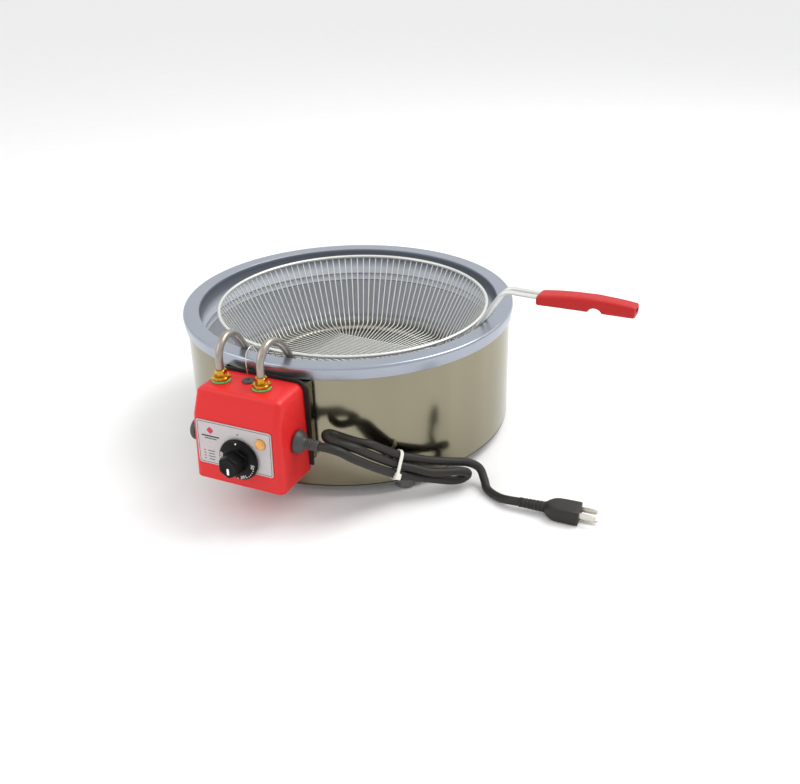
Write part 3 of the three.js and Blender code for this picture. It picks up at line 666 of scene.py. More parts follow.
def box_slice(half_width, front_y, side_height, front_height, shrink=0.0):
    """One U-shaped row per entry: [row, column] points of the two sides, corners and front.

    The left half is then stretched to splay: its factor grows from 53 / 52 at the back to
    56.5 / 52 at the front.
    """
    turn = np.linspace(0, np.pi / 2, 9)
    side_share = np.linspace(0, 1, 16)[:-1]
    front_share = np.linspace(0, 1, 25)[1:-1]
    w, f, zs, zf, k = (np.asarray(v, float)[:, None] for v in (
        half_width, front_y, side_height, front_height, shrink * np.ones(len(half_width))))
    front_weight = np.sin(turn) ** 2
    left = [-w + 0 * side_share, BOX_BACK + (f + CORNER - BOX_BACK) * side_share, zs + 0 * side_share]
    bend = [-w + CORNER * (1 - np.cos(turn)), f + CORNER * (1 - np.sin(turn)),
            zs + (zf - zs) * front_weight]
    middle = [(w - CORNER) * (2 * front_share - 1), f + 0 * front_share, zf + 0 * front_share]
    half = [np.concatenate([a, b], 1) for a, b in zip(left, bend)]
    mirrored = [-half[0][:, ::-1], half[1][:, ::-1], half[2][:, ::-1]]
    x, y, z = (np.concatenate(parts, 1) for parts in zip(half, middle, mirrored))
    depth = np.clip((BOX_BACK - y) / BOX_DEPTH, 0, 1)
    left_factor = (LEFT_BACK + (LEFT_FRONT - LEFT_BACK) * depth) / BOX_HALF
    x = np.where(x < 0, x * left_factor, x)
    return np.stack([x * (1 - k), BOX_BACK + (y - BOX_BACK) * (1 - k), z], -1)


def control_box_rows():
    """Rows over the whole cover, in order: bottom, lower edge, walls, upper edge, top."""
    inward = np.linspace(1, 0.04, 6)
    edge = np.linspace(0, np.pi / 2, 6)[:-1]
    climb = np.unique(np.concatenate([np.linspace(0, 1, 14), np.linspace(0.66, 0.9, 16)]))
    lip = 2.5
    low_width, low_front = box_width(BOX_BOTTOM), box_front(BOX_BOTTOM)
    flat = np.ones(len(inward))
    bottom = box_slice(flat * (low_width - lip), flat * (low_front + lip), flat * BOX_BOTTOM,
                       flat * BOX_BOTTOM, inward)
    drop = lip * (1 - np.cos(edge))
    lower = box_slice(low_width - lip + lip * np.sin(edge), low_front + lip - lip * np.sin(edge),
                      BOX_BOTTOM + drop, BOX_BOTTOM + drop)
    side = BOX_BOTTOM + lip + climb * (BOX_TOP - SIDE_EDGE - BOX_BOTTOM - lip)
    front = BOX_BOTTOM + lip + climb * (BOX_TOP - FRONT_EDGE - BOX_BOTTOM - lip)
    walls = box_slice(box_width(side), box_front(front), side, front)
    over = np.linspace(0, np.pi / 2, 9)[1:]
    upper = box_slice(box_width(BOX_TOP - SIDE_EDGE) - SIDE_EDGE * (1 - np.cos(over)),
                      box_front(BOX_TOP - FRONT_EDGE) + FRONT_EDGE * (1 - np.cos(over)),
                      BOX_TOP - SIDE_EDGE * (1 - np.sin(over)),
                      BOX_TOP - FRONT_EDGE * (1 - np.sin(over)))
    centre = np.array([0, BOX_BACK, BOX_TOP])
    top = centre + (upper[-1:] - centre) * inward[::-1, None, None]
    return MM * np.concatenate([bottom, lower, walls, upper, top[::-1]])


box_red = finish("box_red", linear(208, 36, 37), 0.38, scale=900, shift=0.03, rough_shift=0.03,
                 bump=0.04, shader={"Specular IOR Level": 0.35})
cover = piece("box_cover", [sheet_of(control_box_rows(), around=False)], "fryer", box_red,
              ["control_box"], crease=60)
wall = cover.modifiers.new("wall", "SOLIDIFY")
wall.thickness, wall.offset = 2.2 * MM, -1.0
gasket_rubber = finish("gasket_rubber", linear(26, 26, 26), 0.6, scale=600, shift=0.15, bump=0.3)
repaint(gasket_rubber, "box_gasket")

# %% [markdown]
# ## The label
# The front panel leans back a little, so everything on it is laid out flat in the panel's own axes
# and then placed. The label itself is the CAD's foil. What is printed on it is kept generic: a
# thin frame line, a plain lozenge with two bars, four short setting lines, and the dial's index
# dot. Each print is a very thin raised plate, which stays sharp at any distance.

# %% Label and its print
DIAL = MM * np.array([2.5, -259.5, 65.8])
LEAN_SIN, LEAN_COS = 0.037557, 0.999294
PANEL_AXES = dict(x_axis=(1, 0, 0), y_axis=(0, LEAN_SIN, LEAN_COS), z_axis=(0, -LEAN_COS, LEAN_SIN))
LABEL_TOP = 1.1 * MM
PRINT_TOP = LABEL_TOP + 0.06 * MM
label_foil = finish("label_foil", linear(186, 180, 180), 0.45, metallic=0.2, scale=120,
                    stretch=(1, 1, 8), shift=0.05, rough_shift=0.08, bump=0.02)
ink_black = finish("ink_black", linear(52, 46, 50), 0.5, scale=600, shift=0.1, bump=0.02)
ink_red = finish("ink_red", linear(190, 40, 62), 0.5, scale=600, shift=0.1, bump=0.02)
repaint(label_foil, "label_panel")


def rounded_box(width, height, radius, steps=6):
    """A closed rectangle line with quarter circles of `radius` at its corners."""
    turn = np.linspace(0, np.pi / 2, steps)
    quarter = np.stack([np.cos(turn), np.sin(turn)], -1) * radius
    corners = []
    for n, (sx, sy) in enumerate([(1, 1), (-1, 1), (-1, -1), (1, -1)]):
        spin = np.array([[0, 1], [-1, 0]])
        arc = quarter @ np.linalg.matrix_power(spin, n)
        corners.append(arc + np.array([sx * (width / 2 - radius), sy * (height / 2 - radius)]))
    return np.concatenate(corners)


def on_panel(points):
    """A grid given in the panel's own axes, moved to the box's front."""
    return placed(points, DIAL, **PANEL_AXES)


def outline_rows(lines_and_heights, centre):
    """A grid on the panel whose rows are closed lines in millimetres, each at its own height."""
    rows = [np.concatenate([MM * (line + np.asarray(centre)), np.full((len(line), 1), height)], 1)
            for line, height in lines_and_heights]
    return on_panel(np.stack(rows))


def print_plate(line, centre):
    """A thin plate over a closed line: its outline at two heights, closed with caps."""
    return sheet_of(outline_rows([(line, LABEL_TOP), (line, PRINT_TOP)], centre))


def print_frame(outer, inner, centre):
    """A thin frame between two closed lines: outer low, outer high, inner high, inner low."""
    rows = [(outer, LABEL_TOP), (outer, PRINT_TOP), (inner, PRINT_TOP), (inner, LABEL_TOP)]
    return sheet_of(outline_rows(rows, centre), along=True)


LABEL_CENTRE = np.array([-6, 10.9])
frame_line = print_frame(rounded_box(88.4, 48.4, 2.2), rounded_box(87.2, 47.2, 1.7), LABEL_CENTRE)
MARK_X, SETTING_X, TICK_X = -34.6, -35.1, -43.4
bars = [print_plate(rounded_box(22, 1.7, 0.5), (MARK_X, 18.6)),
        print_plate(rounded_box(15, 1.1, 0.4), (MARK_X, 15.8)),
        print_plate(rounded_box(1.7, 1.7, 0.8), (-0.8, 27.4))]
settings = [print_plate(rounded_box(8.5 - 1.2 * (n % 2), 0.9, 0.3), (SETTING_X, 1 - 3.3 * n))
            for n in range(4)]
tick_boxes = [print_plate(rounded_box(2.4, 1.3, 0.4), (TICK_X, 1 - 3.3 * n)) for n in range(4)]
eighth_turn = np.array([[0.7, 0.7], [-0.7, 0.7]])
lozenge = print_plate(rounded_box(6.4, 6.4, 1.2) @ eighth_turn, (MARK_X, 25.4))
piece("label_print_dark", [frame_line, *bars, *settings], "fryer", ink_black, merge=1e-8)
piece("label_print_red", [lozenge, *tick_boxes], "fryer", ink_red, merge=1e-8)

# %% [markdown]
# ## The pilot lamp
# A round amber lens set in the label. It is a turned dome with a stepped edge, and a clear, warm
# plastic lets some light through it.

# %% Pilot lamp
LAMP = MM * np.array([26.4, 22])
amber = finish("amber_lens", linear(238, 172, 84), 0.16, scale=300, shift=0.12, bump=0.08,
               shader={"Transmission Weight": 0.25, "IOR": 1.49, "Coat Weight": 0.4})
lens_profile = MM * softened([[0, 1.2], [5.9, 1.2], [5.9, 2.6], [5.2, 3], [4.2, 4.8], [1.8, 5.7], [0, 5.8]],
                             [0, 0.2, 0.4, 0.4, 1.6, 1.6, 0], 5)
lens = turned(lens_profile, 40)
lens[..., :2] += LAMP
piece("lamp_lens", [sheet_of(on_panel(lens))], "fryer", amber, ["pilot_lamp_lens"])

# %% [markdown]
# ## The dial
# The knob is one moulding: a round skirt that carries the scale, and a six-sided grip. A hexagon
# is turned like a circle, but its radius depends on the angle: side / cos(angle from the nearest
# side's middle). A high power mean of that over all six sides rounds the corners.

# %% Dial knob
knob_plastic = finish("knob_plastic", linear(14, 14, 15), 0.32, scale=900, shift=0.2, bump=0.05,
                      shader={"Specular IOR Level": 0.15})
# This white is the scale's print, and also the painted highlight on the grip.
scale_print_and_highlight_white = finish("scale_print_and_highlight_white", linear(236, 236, 232), 0.5, scale=600, shift=0.05, bump=0.02)
GRIP_HALF_FLATS = 11.2


def six_sided(segments, sides=6, power=26):
    """How far a rounded hexagon reaches at each angle: 1 / (sum of positive cos^p)^(1/p)."""
    angle = np.arange(segments) * 2 * np.pi / segments
    normals = np.arange(sides) * 2 * np.pi / sides
    reach = np.clip(np.cos(angle[:, None] - normals), 0, 1) ** power
    return 1 / reach.sum(1) ** (1 / power)


def knob_points(segments=180):
    """The skirt turned round, then the grip with the hexagon's reach, then its dished front."""
    skirt = MM * softened([[0, 2.2], [22.4, 2.2], [23, 3], [23, 4.6], [21.4, 6.4], [14.5, 7.6], [13.4, 7.8]],
                          [0, 0.5, 0.6, 0.8, 1.2, 1, 0], 5)
    grip = MM * softened([[12, 7.8], [11.5, 8.8], [GRIP_HALF_FLATS, 22.4], [10.2, 24], [7.2, 24],
                          [6.6, 23.5], [0, 23.5]], [0, 0.8, 1.3, 1.2, 0.6, 0.6, 0], 5)
    flat = turned(np.concatenate([skirt, grip]), segments)
    reach = six_sided(segments)[None, :, None] - 1
    share = np.clip(grip[:, 0] / (GRIP_HALF_FLATS * MM), 0, 1) ** 3
    flat[len(skirt):, :, :2] *= 1 + reach * share[:, None, None]
    return flat


piece("dial_knob", [sheet_of(on_panel(knob_points()))], "knob", knob_plastic,
      ["control_knob"], crease=40)

# %% [markdown]
# ## The dial's scale
# Numbers are Blender text turned into a mesh, then laid on the skirt: each is moved out to its
# radius and turned to its angle. Text is a flat outline, so it gets a little depth by extrusion.
# The dots between the numbers are short turned pegs. All of them ride with the knob.

# %% Scale numbers and dots
SCALE_RADIUS = 18.6 * MM
SKIRT_SLOPE = math.atan2(7.6 - 6.4, 21.4 - 14.5)
SKIRT_AT_SCALE = 6.95 * MM


def on_skirt(points, degrees, radius=SCALE_RADIUS):
    """Flat points (x across, y outwards, z up) laid on the sloping skirt at an angle from the top."""
    turn = math.radians(degrees)
    out = np.array([math.sin(turn), math.cos(turn), 0])
    across = np.array([math.cos(turn), -math.sin(turn), 0])
    down = out * math.cos(SKIRT_SLOPE) - np.array([0, 0, math.sin(SKIRT_SLOPE)])
    up = np.array([0, 0, math.cos(SKIRT_SLOPE)]) + out * math.sin(SKIRT_SLOPE)
    flat = placed(points, out * radius + np.array([0, 0, SKIRT_AT_SCALE]), across, down, up)
    return on_panel(flat)


def text_points(words, size):
    """Vertices and faces of a number, made by Blender's own font and centred on its middle."""
    curve = bpy.data.curves.new("number", "FONT")
    curve.body, curve.size, curve.extrude = words, size, 0.08 * MM
    curve.align_x, curve.align_y, curve.resolution_u = "CENTER", "CENTER", 2
    text = linked("number", curve)
    bpy.context.view_layer.update()
    mesh = bpy.data.meshes.new_from_object(text.evaluated_get(bpy.context.evaluated_depsgraph_get()))
    points = np.empty(len(mesh.vertices) * 3, np.float32)
    mesh.vertices.foreach_get("co", points)
    faces = [list(face.vertices) for face in mesh.polygons]
    bpy.data.objects.remove(text)
    bpy.data.curves.remove(curve)
    bpy.data.meshes.remove(mesh)
    return points.reshape(-1, 3).astype(float), faces


NUMBERS = {"200": -82, "150": 205, "100": 158, "50": 100}
NUMBER_SIZE = 5.4 * MM
DOT_ANGLES = (112, 121, 130, 139, 148, 170, 182, 193, 217)
DOTS_RADIUS, TOP_DOT_RADIUS = 20.4 * MM, 19.6 * MM
number_marks = []
for words, degrees in NUMBERS.items():
    points, faces = text_points(words, NUMBER_SIZE)
    number_marks.append((on_skirt(points, degrees), faces))
dot = turned(MM * np.array([[0, -0.3], [0.55, -0.3], [0.55, 0.12], [0, 0.12]]), 10)
number_marks += [sheet_of(on_skirt(dot, degrees, DOTS_RADIUS)) for degrees in DOT_ANGLES]
top_dot = turned(MM * np.array([[0, -0.3], [0.9, -0.3], [0.9, 0.14], [0, 0.14]]), 16)
number_marks.append(sheet_of(on_skirt(top_dot, 0, TOP_DOT_RADIUS)))
piece("dial_scale", number_marks, "knob", scale_print_and_highlight_white, merge=1e-8)

# %% [markdown]
# A short white mark on the grip's front face, near the corner that faces the camera, is a painted highlight.

# %% Dial's painted highlight
# Painted highlight: a thin white plate on the grip's front face, where light catches the black plastic.
highlight_line = rounded_box(2.6, 7.4, 1.1)
highlight_rows = outline_rows([(highlight_line, z * MM) for z in (23.2, 24.1)], (0, -4.2))
piece("dial_painted_highlight", [sheet_of(highlight_rows)], "knob", scale_print_and_highlight_white, merge=1e-8)

# %% [markdown]
# ## The heater
# The heating tube leaves the box straight up, bends over the rim, drops inside the pan and runs
# once round under the basket. It is one round tube on the CAD's own route. The metal is drawn
# steel that has gone slightly warm in colour from use.

# %% Heater tube
tube_steel = finish("tube_steel", linear(158, 150, 141), 0.34, metallic=0.85, scale=350,
                    stretch=(1, 1, 0.25), shift=0.1, bump=0.08)
LEG_X = {"left": -34.0, "right": 15.4}
INNER_LEG_X = {"left": -39.0, "right": 17.5}
LEG_Y, INNER_LEG_Y = -227.0, -164.5
HEATER_RADIUS = 4.1 * MM


def heater_leg(side):
    """One leg, from inside the box over the rim and down the pan's wall.

    It spreads a little on its way: x moves evenly with y, from the box's hole to the inner leg.
    """
    y_and_z = [(LEG_Y, 112), (LEG_Y, 141), (LEG_Y, 156), (-225.4, 165), (-219.5, 173), (-209, 177.3),
               (-197.5, 175.3), (-186.5, 166.5), (-177.2, 155), (-169.8, 143), (-166.2, 131),
               (-165, 112), (INNER_LEG_Y, 82)]
    spread = (INNER_LEG_X[side] - LEG_X[side]) / (INNER_LEG_Y - LEG_Y)
    return [[LEG_X[side] + spread * (y - LEG_Y), y, z] for y, z in y_and_z]


loop_angles = np.radians(np.arange(234, -67, -15))
heater_loop = np.stack([105 * np.cos(loop_angles), 105 * np.sin(loop_angles), 61 + 0 * loop_angles], -1)
heater_route = [*heater_leg("left"), [-41, -160, 69], [-46, -148, 62], [-54, -122, 61],
                *heater_loop.tolist(), [36, -119, 61], [23, -146, 61.5], [18.5, -160, 69],
                *heater_leg("right")[::-1]]
heater_path = smooth_path(MM * np.array(heater_route), 3 * MM)
piece("heater_tube", [sheet_of(tube(heater_path, HEATER_RADIUS, 24))], "fryer", tube_steel,
      ["heater_element"])

# %% [markdown]
# ## The heater's fittings
# Each leg is held by a six-sided brass nut on a green fibre washer, with a ferrule through it that
# ends in a smaller six-sided neck. A nut is a hexagon drawn upwards with its corners cut back:
# each face ends in a circle just inside the flats, and a short slope joins it to the hexagon.

# %% Nuts, washers and ferrules
brass = finish("plated_brass", linear(196, 148, 56), 0.25, metallic=1.0, scale=300, shift=0.05,
               rough_shift=0.03, bump=0.02)
fibre = finish("green_fibre", linear(84, 196, 112), 0.6, scale=700, shift=0.12, bump=0.2)


def hex_nut(across_flats, bore, low, high, chamfer, segments=96):
    """A nut about +Z: out over the low face, up the sides, in over the high face, down the bore."""
    flats = across_flats / 2
    reach, circle = flats * six_sided(segments, power=400), flats * 0.98
    rows = [(bore, low), (circle, low), (reach, low + chamfer), (reach, high - chamfer),
            (circle, high), (bore, high)]
    angle = np.arange(segments) * 2 * np.pi / segments
    grid = [np.stack([radius * np.cos(angle), radius * np.sin(angle), height + 0 * angle], -1)
            for radius, height in rows]
    return MM * np.stack(grid)


for side, x in LEG_X.items():
    stand = MM * np.array([x, LEG_Y, 0])
    nut = placed(hex_nut(18, 5.5, 136, 140.2, 0.8), stand)
    piece(f"heater_hex_{side}", [sheet_of(nut, along=True)], "fryer", brass,
          [f"heater_nut_{side}"], crease=20)
    washer = turned(MM * softened([[5.6, 134.2], [10, 134.2], [10, 136], [5.6, 136], [5.6, 134.2]], 0.5), 64)
    piece(f"heater_seal_{side}", [sheet_of(placed(washer, stand), along=True)], "fryer", fibre,
          [f"heater_washer_{side}"])
    sleeve = turned(MM * np.array([[4.2, 118], [5.3, 118], [5.3, 141], [4.2, 141], [4.2, 118]]), 64)
    neck = hex_nut(11.4, 4.2, 139.6, 147.2, 0.5)
    piece(f"heater_collar_{side}", [sheet_of(placed(sleeve, stand), along=True),
                                    sheet_of(placed(neck, stand), along=True)],
          "fryer", brass, [f"heater_ferrule_{side}"], crease=20)

repaint(brass, "heater_locknut_left", "heater_locknut_right")

# %% [markdown]
# ## The thermostat's line
# A thin line runs from the thermostat through a grommet in the box's top, over the rim, down the
# pan's wall and along to the sensing bulb on the pan's floor.

# %% Capillary, grommet and bulb
bright_steel = finish("bright_steel", linear(206, 204, 198), 0.25, metallic=1.0, scale=300,
                      stretch=(0.2, 1, 1), shift=0.08, bump=0.05)
LINE_X, GROMMET_Y = -6.3, -218.6
GROMMET = MM * np.array([LINE_X, GROMMET_Y, 0])
line_down = [(-233, 76), (-224, 84), (-219.1, 104), (GROMMET_Y, 122), (GROMMET_Y, 140), (-219.5, 154),
             (-218, 164), (-213, 168.6), (-205, 169), (-195, 163), (-184, 153), (-176, 138), (-172.5, 110)]
capillary_route = MM * np.array([[LINE_X, y, z] for y, z in line_down] + [
    [LINE_X - 2, -170, 72], [LINE_X - 5, -159, 52], [-5, -146, 44], [2.7, -142, 44]])
piece("capillary_line", [sheet_of(tube(smooth_path(capillary_route, 2 * MM), 0.6 * MM, 12))],
      "fryer", bright_steel, ["capillary_tube"])
bulb_path = MM * np.stack([np.linspace(3, 78, 60), np.full(60, -142), np.full(60, 44)], -1)
piece("sensing_bulb", [sheet_of(tube(bulb_path, round_ends(bulb_path, 3 * MM), 24))], "fryer",
      bright_steel, ["thermostat_bulb"])
gland_rubber = finish("gland_rubber", linear(62, 62, 61), 0.45, scale=500, shift=0.1, bump=0.12)
grommet_profile = MM * softened([[1.2, 129.5], [4.4, 129.5], [4.4, 134.2], [6.9, 134.2], [6.9, 135.2],
                                 [5.6, 136.4], [1.2, 136], [1.2, 129.5]], 0.6)
piece("line_grommet", [sheet_of(placed(turned(grommet_profile, 48), GROMMET), along=True)],
      "fryer", gland_rubber, ["capillary_grommet"])

# %% [markdown]
# ## The gland and the blanking plug
# Both are turned about the X axis. The gland flares into a bell against the box, then becomes a
# ribbed sleeve that tapers to the cord. The plug in the unused hole has a stepped, fluted head:
# its radius dips by half a millimetre twenty times round.

# %% Cord gland
GLAND = MM * np.array([51.6, -225.6, 78])
SPARE_HOLE = MM * np.array([-54.4, -225.6, 66.5])
LEFT_SPLAY = math.radians(3.9)
RIBS, RIB_PITCH = 5, 2.9
ribs = [[radius, start + RIB_PITCH * n] for n in range(RIBS)
        for start, radius in ((11.4, 5.1), (12, 6.2 - 0.1 * n), (13.3, 6.2 - 0.1 * n), (13.9, 5.1))]
gland_profile = MM * softened([[0, -11], [6, -11], [6, 0.5], [13, 0.5], [13, 2.2], [10.8, 6], [6.4, 9.4],
                               *ribs, [5.1, 26], [0, 26.4]],
                              [0, 1, 0.3, 0.5, 1, 3, 1.5] + [0.3] * 4 * RIBS + [0.5, 0], 4)
piece("ribbed_gland", [sheet_of(placed(turned(gland_profile, 64), GLAND, (0, 1, 0), (0, 0, 1), (1, 0, 0)))],
      "fryer", gland_rubber, ["cord_gland"], crease=45)

# %% Blanking plug
spare_profile = MM * softened([[0, -9], [5.8, -9], [5.8, -0.6], [10, -0.6], [10, 3], [7, 4.2], [7, 6.5],
                               [13.2, 7.5], [13.2, 12.5], [11.5, 13.8], [11.5, 15], [13.2, 16.3],
                               [13.2, 21], [11, 23.5], [0, 23.5]], 0.9, 5)
SPARE_SIDES, FLUTE_DEPTH = 160, 0.035
spare = turned(spare_profile, SPARE_SIDES)
flutes = 1 - FLUTE_DEPTH * (np.cos(np.arange(SPARE_SIDES) * 2 * np.pi / 8) > 0.2)
fluted = np.where((spare_profile[:, 1] > 7.2 * MM) & (spare_profile[:, 1] < 22.5 * MM), 1, 0)
spare[..., :2] *= 1 + fluted[:, None, None] * (flutes[None, :, None] - 1)
splay_out = (-math.cos(LEFT_SPLAY), math.sin(LEFT_SPLAY), 0)
splay_across = (-math.sin(LEFT_SPLAY), -math.cos(LEFT_SPLAY), 0)
piece("spare_hole_plug", [sheet_of(placed(spare, SPARE_HOLE, splay_across, (0, 0, 1), splay_out))],
      "fryer", gland_rubber, ["blanking_plug"], crease=45)

# %% [markdown]
# ## The basket
# The basket is woven from sixty straight wires, thirty each way. On the bottom they cross in a
# square lattice; outside that square they spread evenly to the bend, then climb the wall to the
# ring, where each end is welded under the ring's wire. So there is one path with a lateral offset,
# and it is swept into a tube sixty times. Each tube has eight sides, plenty for a thin wire.

# %% Basket wires
basket_wire = finish("basket_wire", linear(212, 213, 208), 0.38, metallic=0.6, scale=200, shift=0.03,
                     rough_shift=0.02, bump=0.0)
BASKET_CENTRE = MM * np.array([7.3, -2.3, 0])
BASKET_TURN = math.radians(-3.5)
BASKET_AXES = dict(x_axis=(math.cos(BASKET_TURN), math.sin(BASKET_TURN), 0),
                   y_axis=(-math.sin(BASKET_TURN), math.cos(BASKET_TURN), 0))
RING_RADIUS, RING_WIRE, RING_HEIGHT = 162.0, 2.1, 146.0
BEND_RADIUS, BEND_HEIGHT, LATTICE_HALF, WIRES_EACH_WAY = 120.7, 66.3, 60.0, 30
WIRE_RADIUS = 0.8


def in_basket(points):
    """Basket points in millimetres, turned and moved to where the basket sits, in metres."""
    return placed(MM * np.asarray(points), BASKET_CENTRE, **BASKET_AXES)


def half_wire(index, layer):
    """Half of one wire, from the middle of the bottom out and up to its end under the ring.

    Its offset in the lattice is spread over +-60 mm, and its angle at the bend over +-45 degrees.
    """
    share = (index + 0.5) / WIRES_EACH_WAY * 2 - 1
    offset, angle = LATTICE_HALF * share, share * np.pi / 4
    out = np.array([np.cos(angle), np.sin(angle)])
    bottom = BEND_HEIGHT + layer
    flat = [[0, offset], [LATTICE_HALF * 0.5, offset], [LATTICE_HALF, offset]]
    along_floor = [[*p, bottom] for p in flat] + [[*(out * (BEND_RADIUS - 5)), bottom]]
    slope = np.linspace(0, 1, 5)[:, None]
    wall = np.concatenate([out * (BEND_RADIUS + (RING_RADIUS + 1.2 - BEND_RADIUS) * slope),
                           BEND_HEIGHT + 1.5 + (RING_HEIGHT - 2 - BEND_HEIGHT - 1.5) * slope], 1)
    return np.concatenate([along_floor, wall])


def wires_one_way(layer, quarter_turn):
    """Thirty wires side by side. Each is its own half, and the same half mirrored in x."""
    sheets = []
    for index in range(WIRES_EACH_WAY):
        half = half_wire(index, layer)
        whole = np.concatenate([half[:0:-1] * [-1, 1, 1], half])
        if quarter_turn:
            whole = whole[:, [1, 0, 2]] * [-1, 1, 1]
        sheets.append(sheet_of(tube(in_basket(whole), WIRE_RADIUS * MM, 8)))
    return sheets


piece("basket_wires", wires_one_way(0.8, False) + wires_one_way(-0.8, True), "basket", basket_wire,
      ["basket_bowl"], crease=70)

# %% Basket ring and handle rods
ring_angle = np.linspace(0, 2 * np.pi, 193)[:-1]
ring_path = in_basket(np.stack([RING_RADIUS * np.cos(ring_angle), RING_RADIUS * np.sin(ring_angle),
                                RING_HEIGHT + 0 * ring_angle], -1))
piece("basket_rim_wire", [sheet_of(tube(ring_path, RING_WIRE * MM, 16, closed=True), along=True)],
      "basket", basket_wire, ["basket_ring"])
ROD_ROUTE = [(159.5, 132), (169, 147.2), (179.5, 164), (190.5, 181.6), (194.5, 187), (199.5, 190.6),
             (206, 191.7), (220, 191.7), (240, 191.7), (288, 191.7)]
for side, offset in (("left", 6.3), ("right", -6.3)):
    rod_path = smooth_path(in_basket([[reach, offset, height] for reach, height in ROD_ROUTE]), 2 * MM)
    piece(f"handle_wire_{side}", [sheet_of(tube(rod_path, 2.5 * MM, 20))], "basket", basket_wire,
          [f"handle_rod_{side}"])

# %% [markdown]
# ## The grip
# The grip is a superellipse section carried along the handle. Its top is arched, it narrows
# towards the far end, and a half-round notch is cut across below. The hanging slot at the end is
# part of the same grid: after the end face, the rows turn inward and run back into the body.

# %% Handle grip
grip_plastic = finish("grip_red", linear(176, 30, 30), 0.45, scale=800, shift=0.05, bump=0.1,
                      shader={"Specular IOR Level": 0.3})
GRIP_START, GRIP_END = 236.5, 343.5
NOTCH_PLACE, NOTCH_RADIUS, END_RADIUS = 301, 8.5, 2.4
SLOT_DEPTH, SLOT_HEIGHT, GRIP_SIDES = 18, 192.6, 56


def grip_rows():
    """Sections from the near end to the far end, then the slot. Each has a middle and two halves."""
    notch = np.linspace(-8, 8, 25)
    run = np.unique(np.round(np.concatenate([
        GRIP_START + np.array([0, 0.4, 1.2, END_RADIUS]), np.linspace(240, 341, 40),
        NOTCH_PLACE + notch, GRIP_END - np.array([END_RADIUS, 1.2, 0.4, 0])]), 3))
    share = (run - GRIP_START) / (GRIP_END - GRIP_START)
    top = (1 - share) ** 2 * 195 + 2 * share * (1 - share) * 204.5 + share**2 * 198.3
    low = 183.5 + 1.5 * share
    bite = 181 + np.sqrt(np.maximum(NOTCH_RADIUS**2 - (run - NOTCH_PLACE) ** 2, 0))
    low = np.maximum(low, np.where(np.abs(run - NOTCH_PLACE) < NOTCH_RADIUS, bite, 0))
    ease = np.minimum(np.minimum(run - GRIP_START, GRIP_END - run) / END_RADIUS, 1)
    pull = 2.0 * (1 - np.sqrt(1 - (1 - ease) ** 2))
    half_width = 12.5 - 3 * share - pull
    outside = lofted(run, half_width, (top - low) / 2 - pull, np.full(len(run), 4.5), GRIP_SIDES,
                     (top + low) / 2)
    slot_run = GRIP_END - np.array([0, 0.3, SLOT_DEPTH, SLOT_DEPTH])
    slot_size = np.array([1.08, 1, 1, 0.02])
    slot = lofted(slot_run, 5.6 * slot_size, 2.4 * slot_size, np.full(4, 4.0), GRIP_SIDES, SLOT_HEIGHT)
    rows = np.concatenate([outside, slot])
    return in_basket(rows[..., [2, 0, 1]])


piece("handle_grip", [sheet_of(grip_rows())], "basket", grip_plastic, ["basket_grip"],
      crease=45)

# %% [markdown]
# ## Pieces inside
# What the box, the pan and the base hide keeps its CAD shape. Each still gets a real finish, so
# that it looks right if the box is opened.

# %% Inner pieces
ceramic = finish("ceramic", linear(226, 219, 202), 0.6, scale=500, shift=0.06, bump=0.2)
saddle_plastic = finish("saddle_plastic", linear(74, 74, 74), 0.5, scale=500, shift=0.1, bump=0.15)
lead_sleeve = finish("lead_sleeve", linear(150, 140, 120), 0.7, scale=900, shift=0.15, bump=0.3)
repaint(ceramic, "terminal_block", "pilot_lamp_body")
repaint(saddle_plastic, "thermostat_body")
repaint(shell_steel, "mounting_saddle")
repaint(lead_sleeve, "heater_lead_left", "heater_lead_right")
repaint(base_steel, "bulb_clip", "heater_support_1", "heater_support_2", "heater_support_3",
        "thermostat_shaft", *[f"foot_screw_{corner}" for corner in CORNERS])

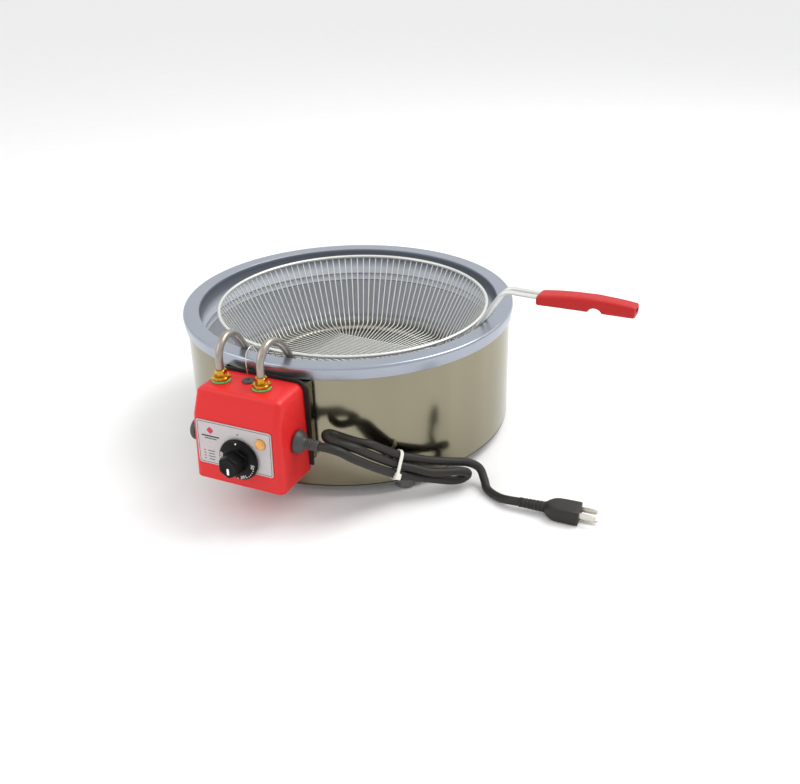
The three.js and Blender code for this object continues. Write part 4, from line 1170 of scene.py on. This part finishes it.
# %% [markdown]
# ## Floor and light
# The floor is a large pale sheet at the height of the feet. One wide soft light stands above and
# behind to the right, a second fills from the front left, and a pale sky does the rest. The sky
# is a little darker towards the horizon, so that polished metal has something to reflect.

# %% Floor
floor_paint = finish("floor_paint", (0.86, 0.86, 0.86), 0.9, scale=20, shift=0.01, bump=0.0)
FLOOR_REACH, FLOOR_GAP = 30.0, 0.0002
floor_mesh = bpy.data.meshes.new("floor")
floor_corners = [(x * FLOOR_REACH, y * FLOOR_REACH, FLOOR_HEIGHT - FLOOR_GAP)
                 for x, y in ((-1, -1), (1, -1), (1, 1), (-1, 1))]
floor_mesh.from_pydata(floor_corners, [], [(0, 1, 2, 3)])
floor = linked("floor", floor_mesh)
floor_mesh.materials.append(floor_paint)


# %% Sky and lights
def area_light(name, place, target, size, watts):
    """A square soft light that looks from its place at a target."""
    data = bpy.data.lights.new(name, "AREA")
    data.shape, data.size, data.energy = "SQUARE", size, watts
    lamp = linked(name, data)
    aim = Vector(target) - Vector(place)
    lamp.matrix_world = Matrix.Translation(place) @ aim.to_track_quat("-Z", "Y").to_matrix().to_4x4()
    return lamp


AIM = (0, 0, 0.1)
SKY_LOW, SKY_HIGH = (0.72, 0.73, 0.75), (1, 1, 1)
area_light("key", (0.9, 0.7, 1.7), AIM, 1.2, 26)
area_light("fill", (-1.2, -1.3, 1.1), AIM, 1.4, 9)
sky = bpy.data.worlds.new("studio")
bpy.context.scene.world = sky
sky.use_nodes = True
sky_tree = sky.node_tree
direction = node_of(sky_tree, "ShaderNodeTexCoord")
split = node_of(sky_tree, "ShaderNodeSeparateXYZ")
sky_tree.links.new(direction.outputs["Generated"], split.inputs["Vector"])
height_ramp = ramp_of(sky_tree, [(0.0, SKY_LOW), (0.5, SKY_HIGH)])
sky_tree.links.new(split.outputs["Z"], height_ramp.inputs["Fac"])
sky_tree.links.new(height_ramp.outputs["Color"], sky_tree.nodes["Background"].inputs["Color"])
sky_tree.nodes["Background"].inputs["Strength"].default_value = 1.0
bpy.context.scene.view_settings.view_transform = "Standard"
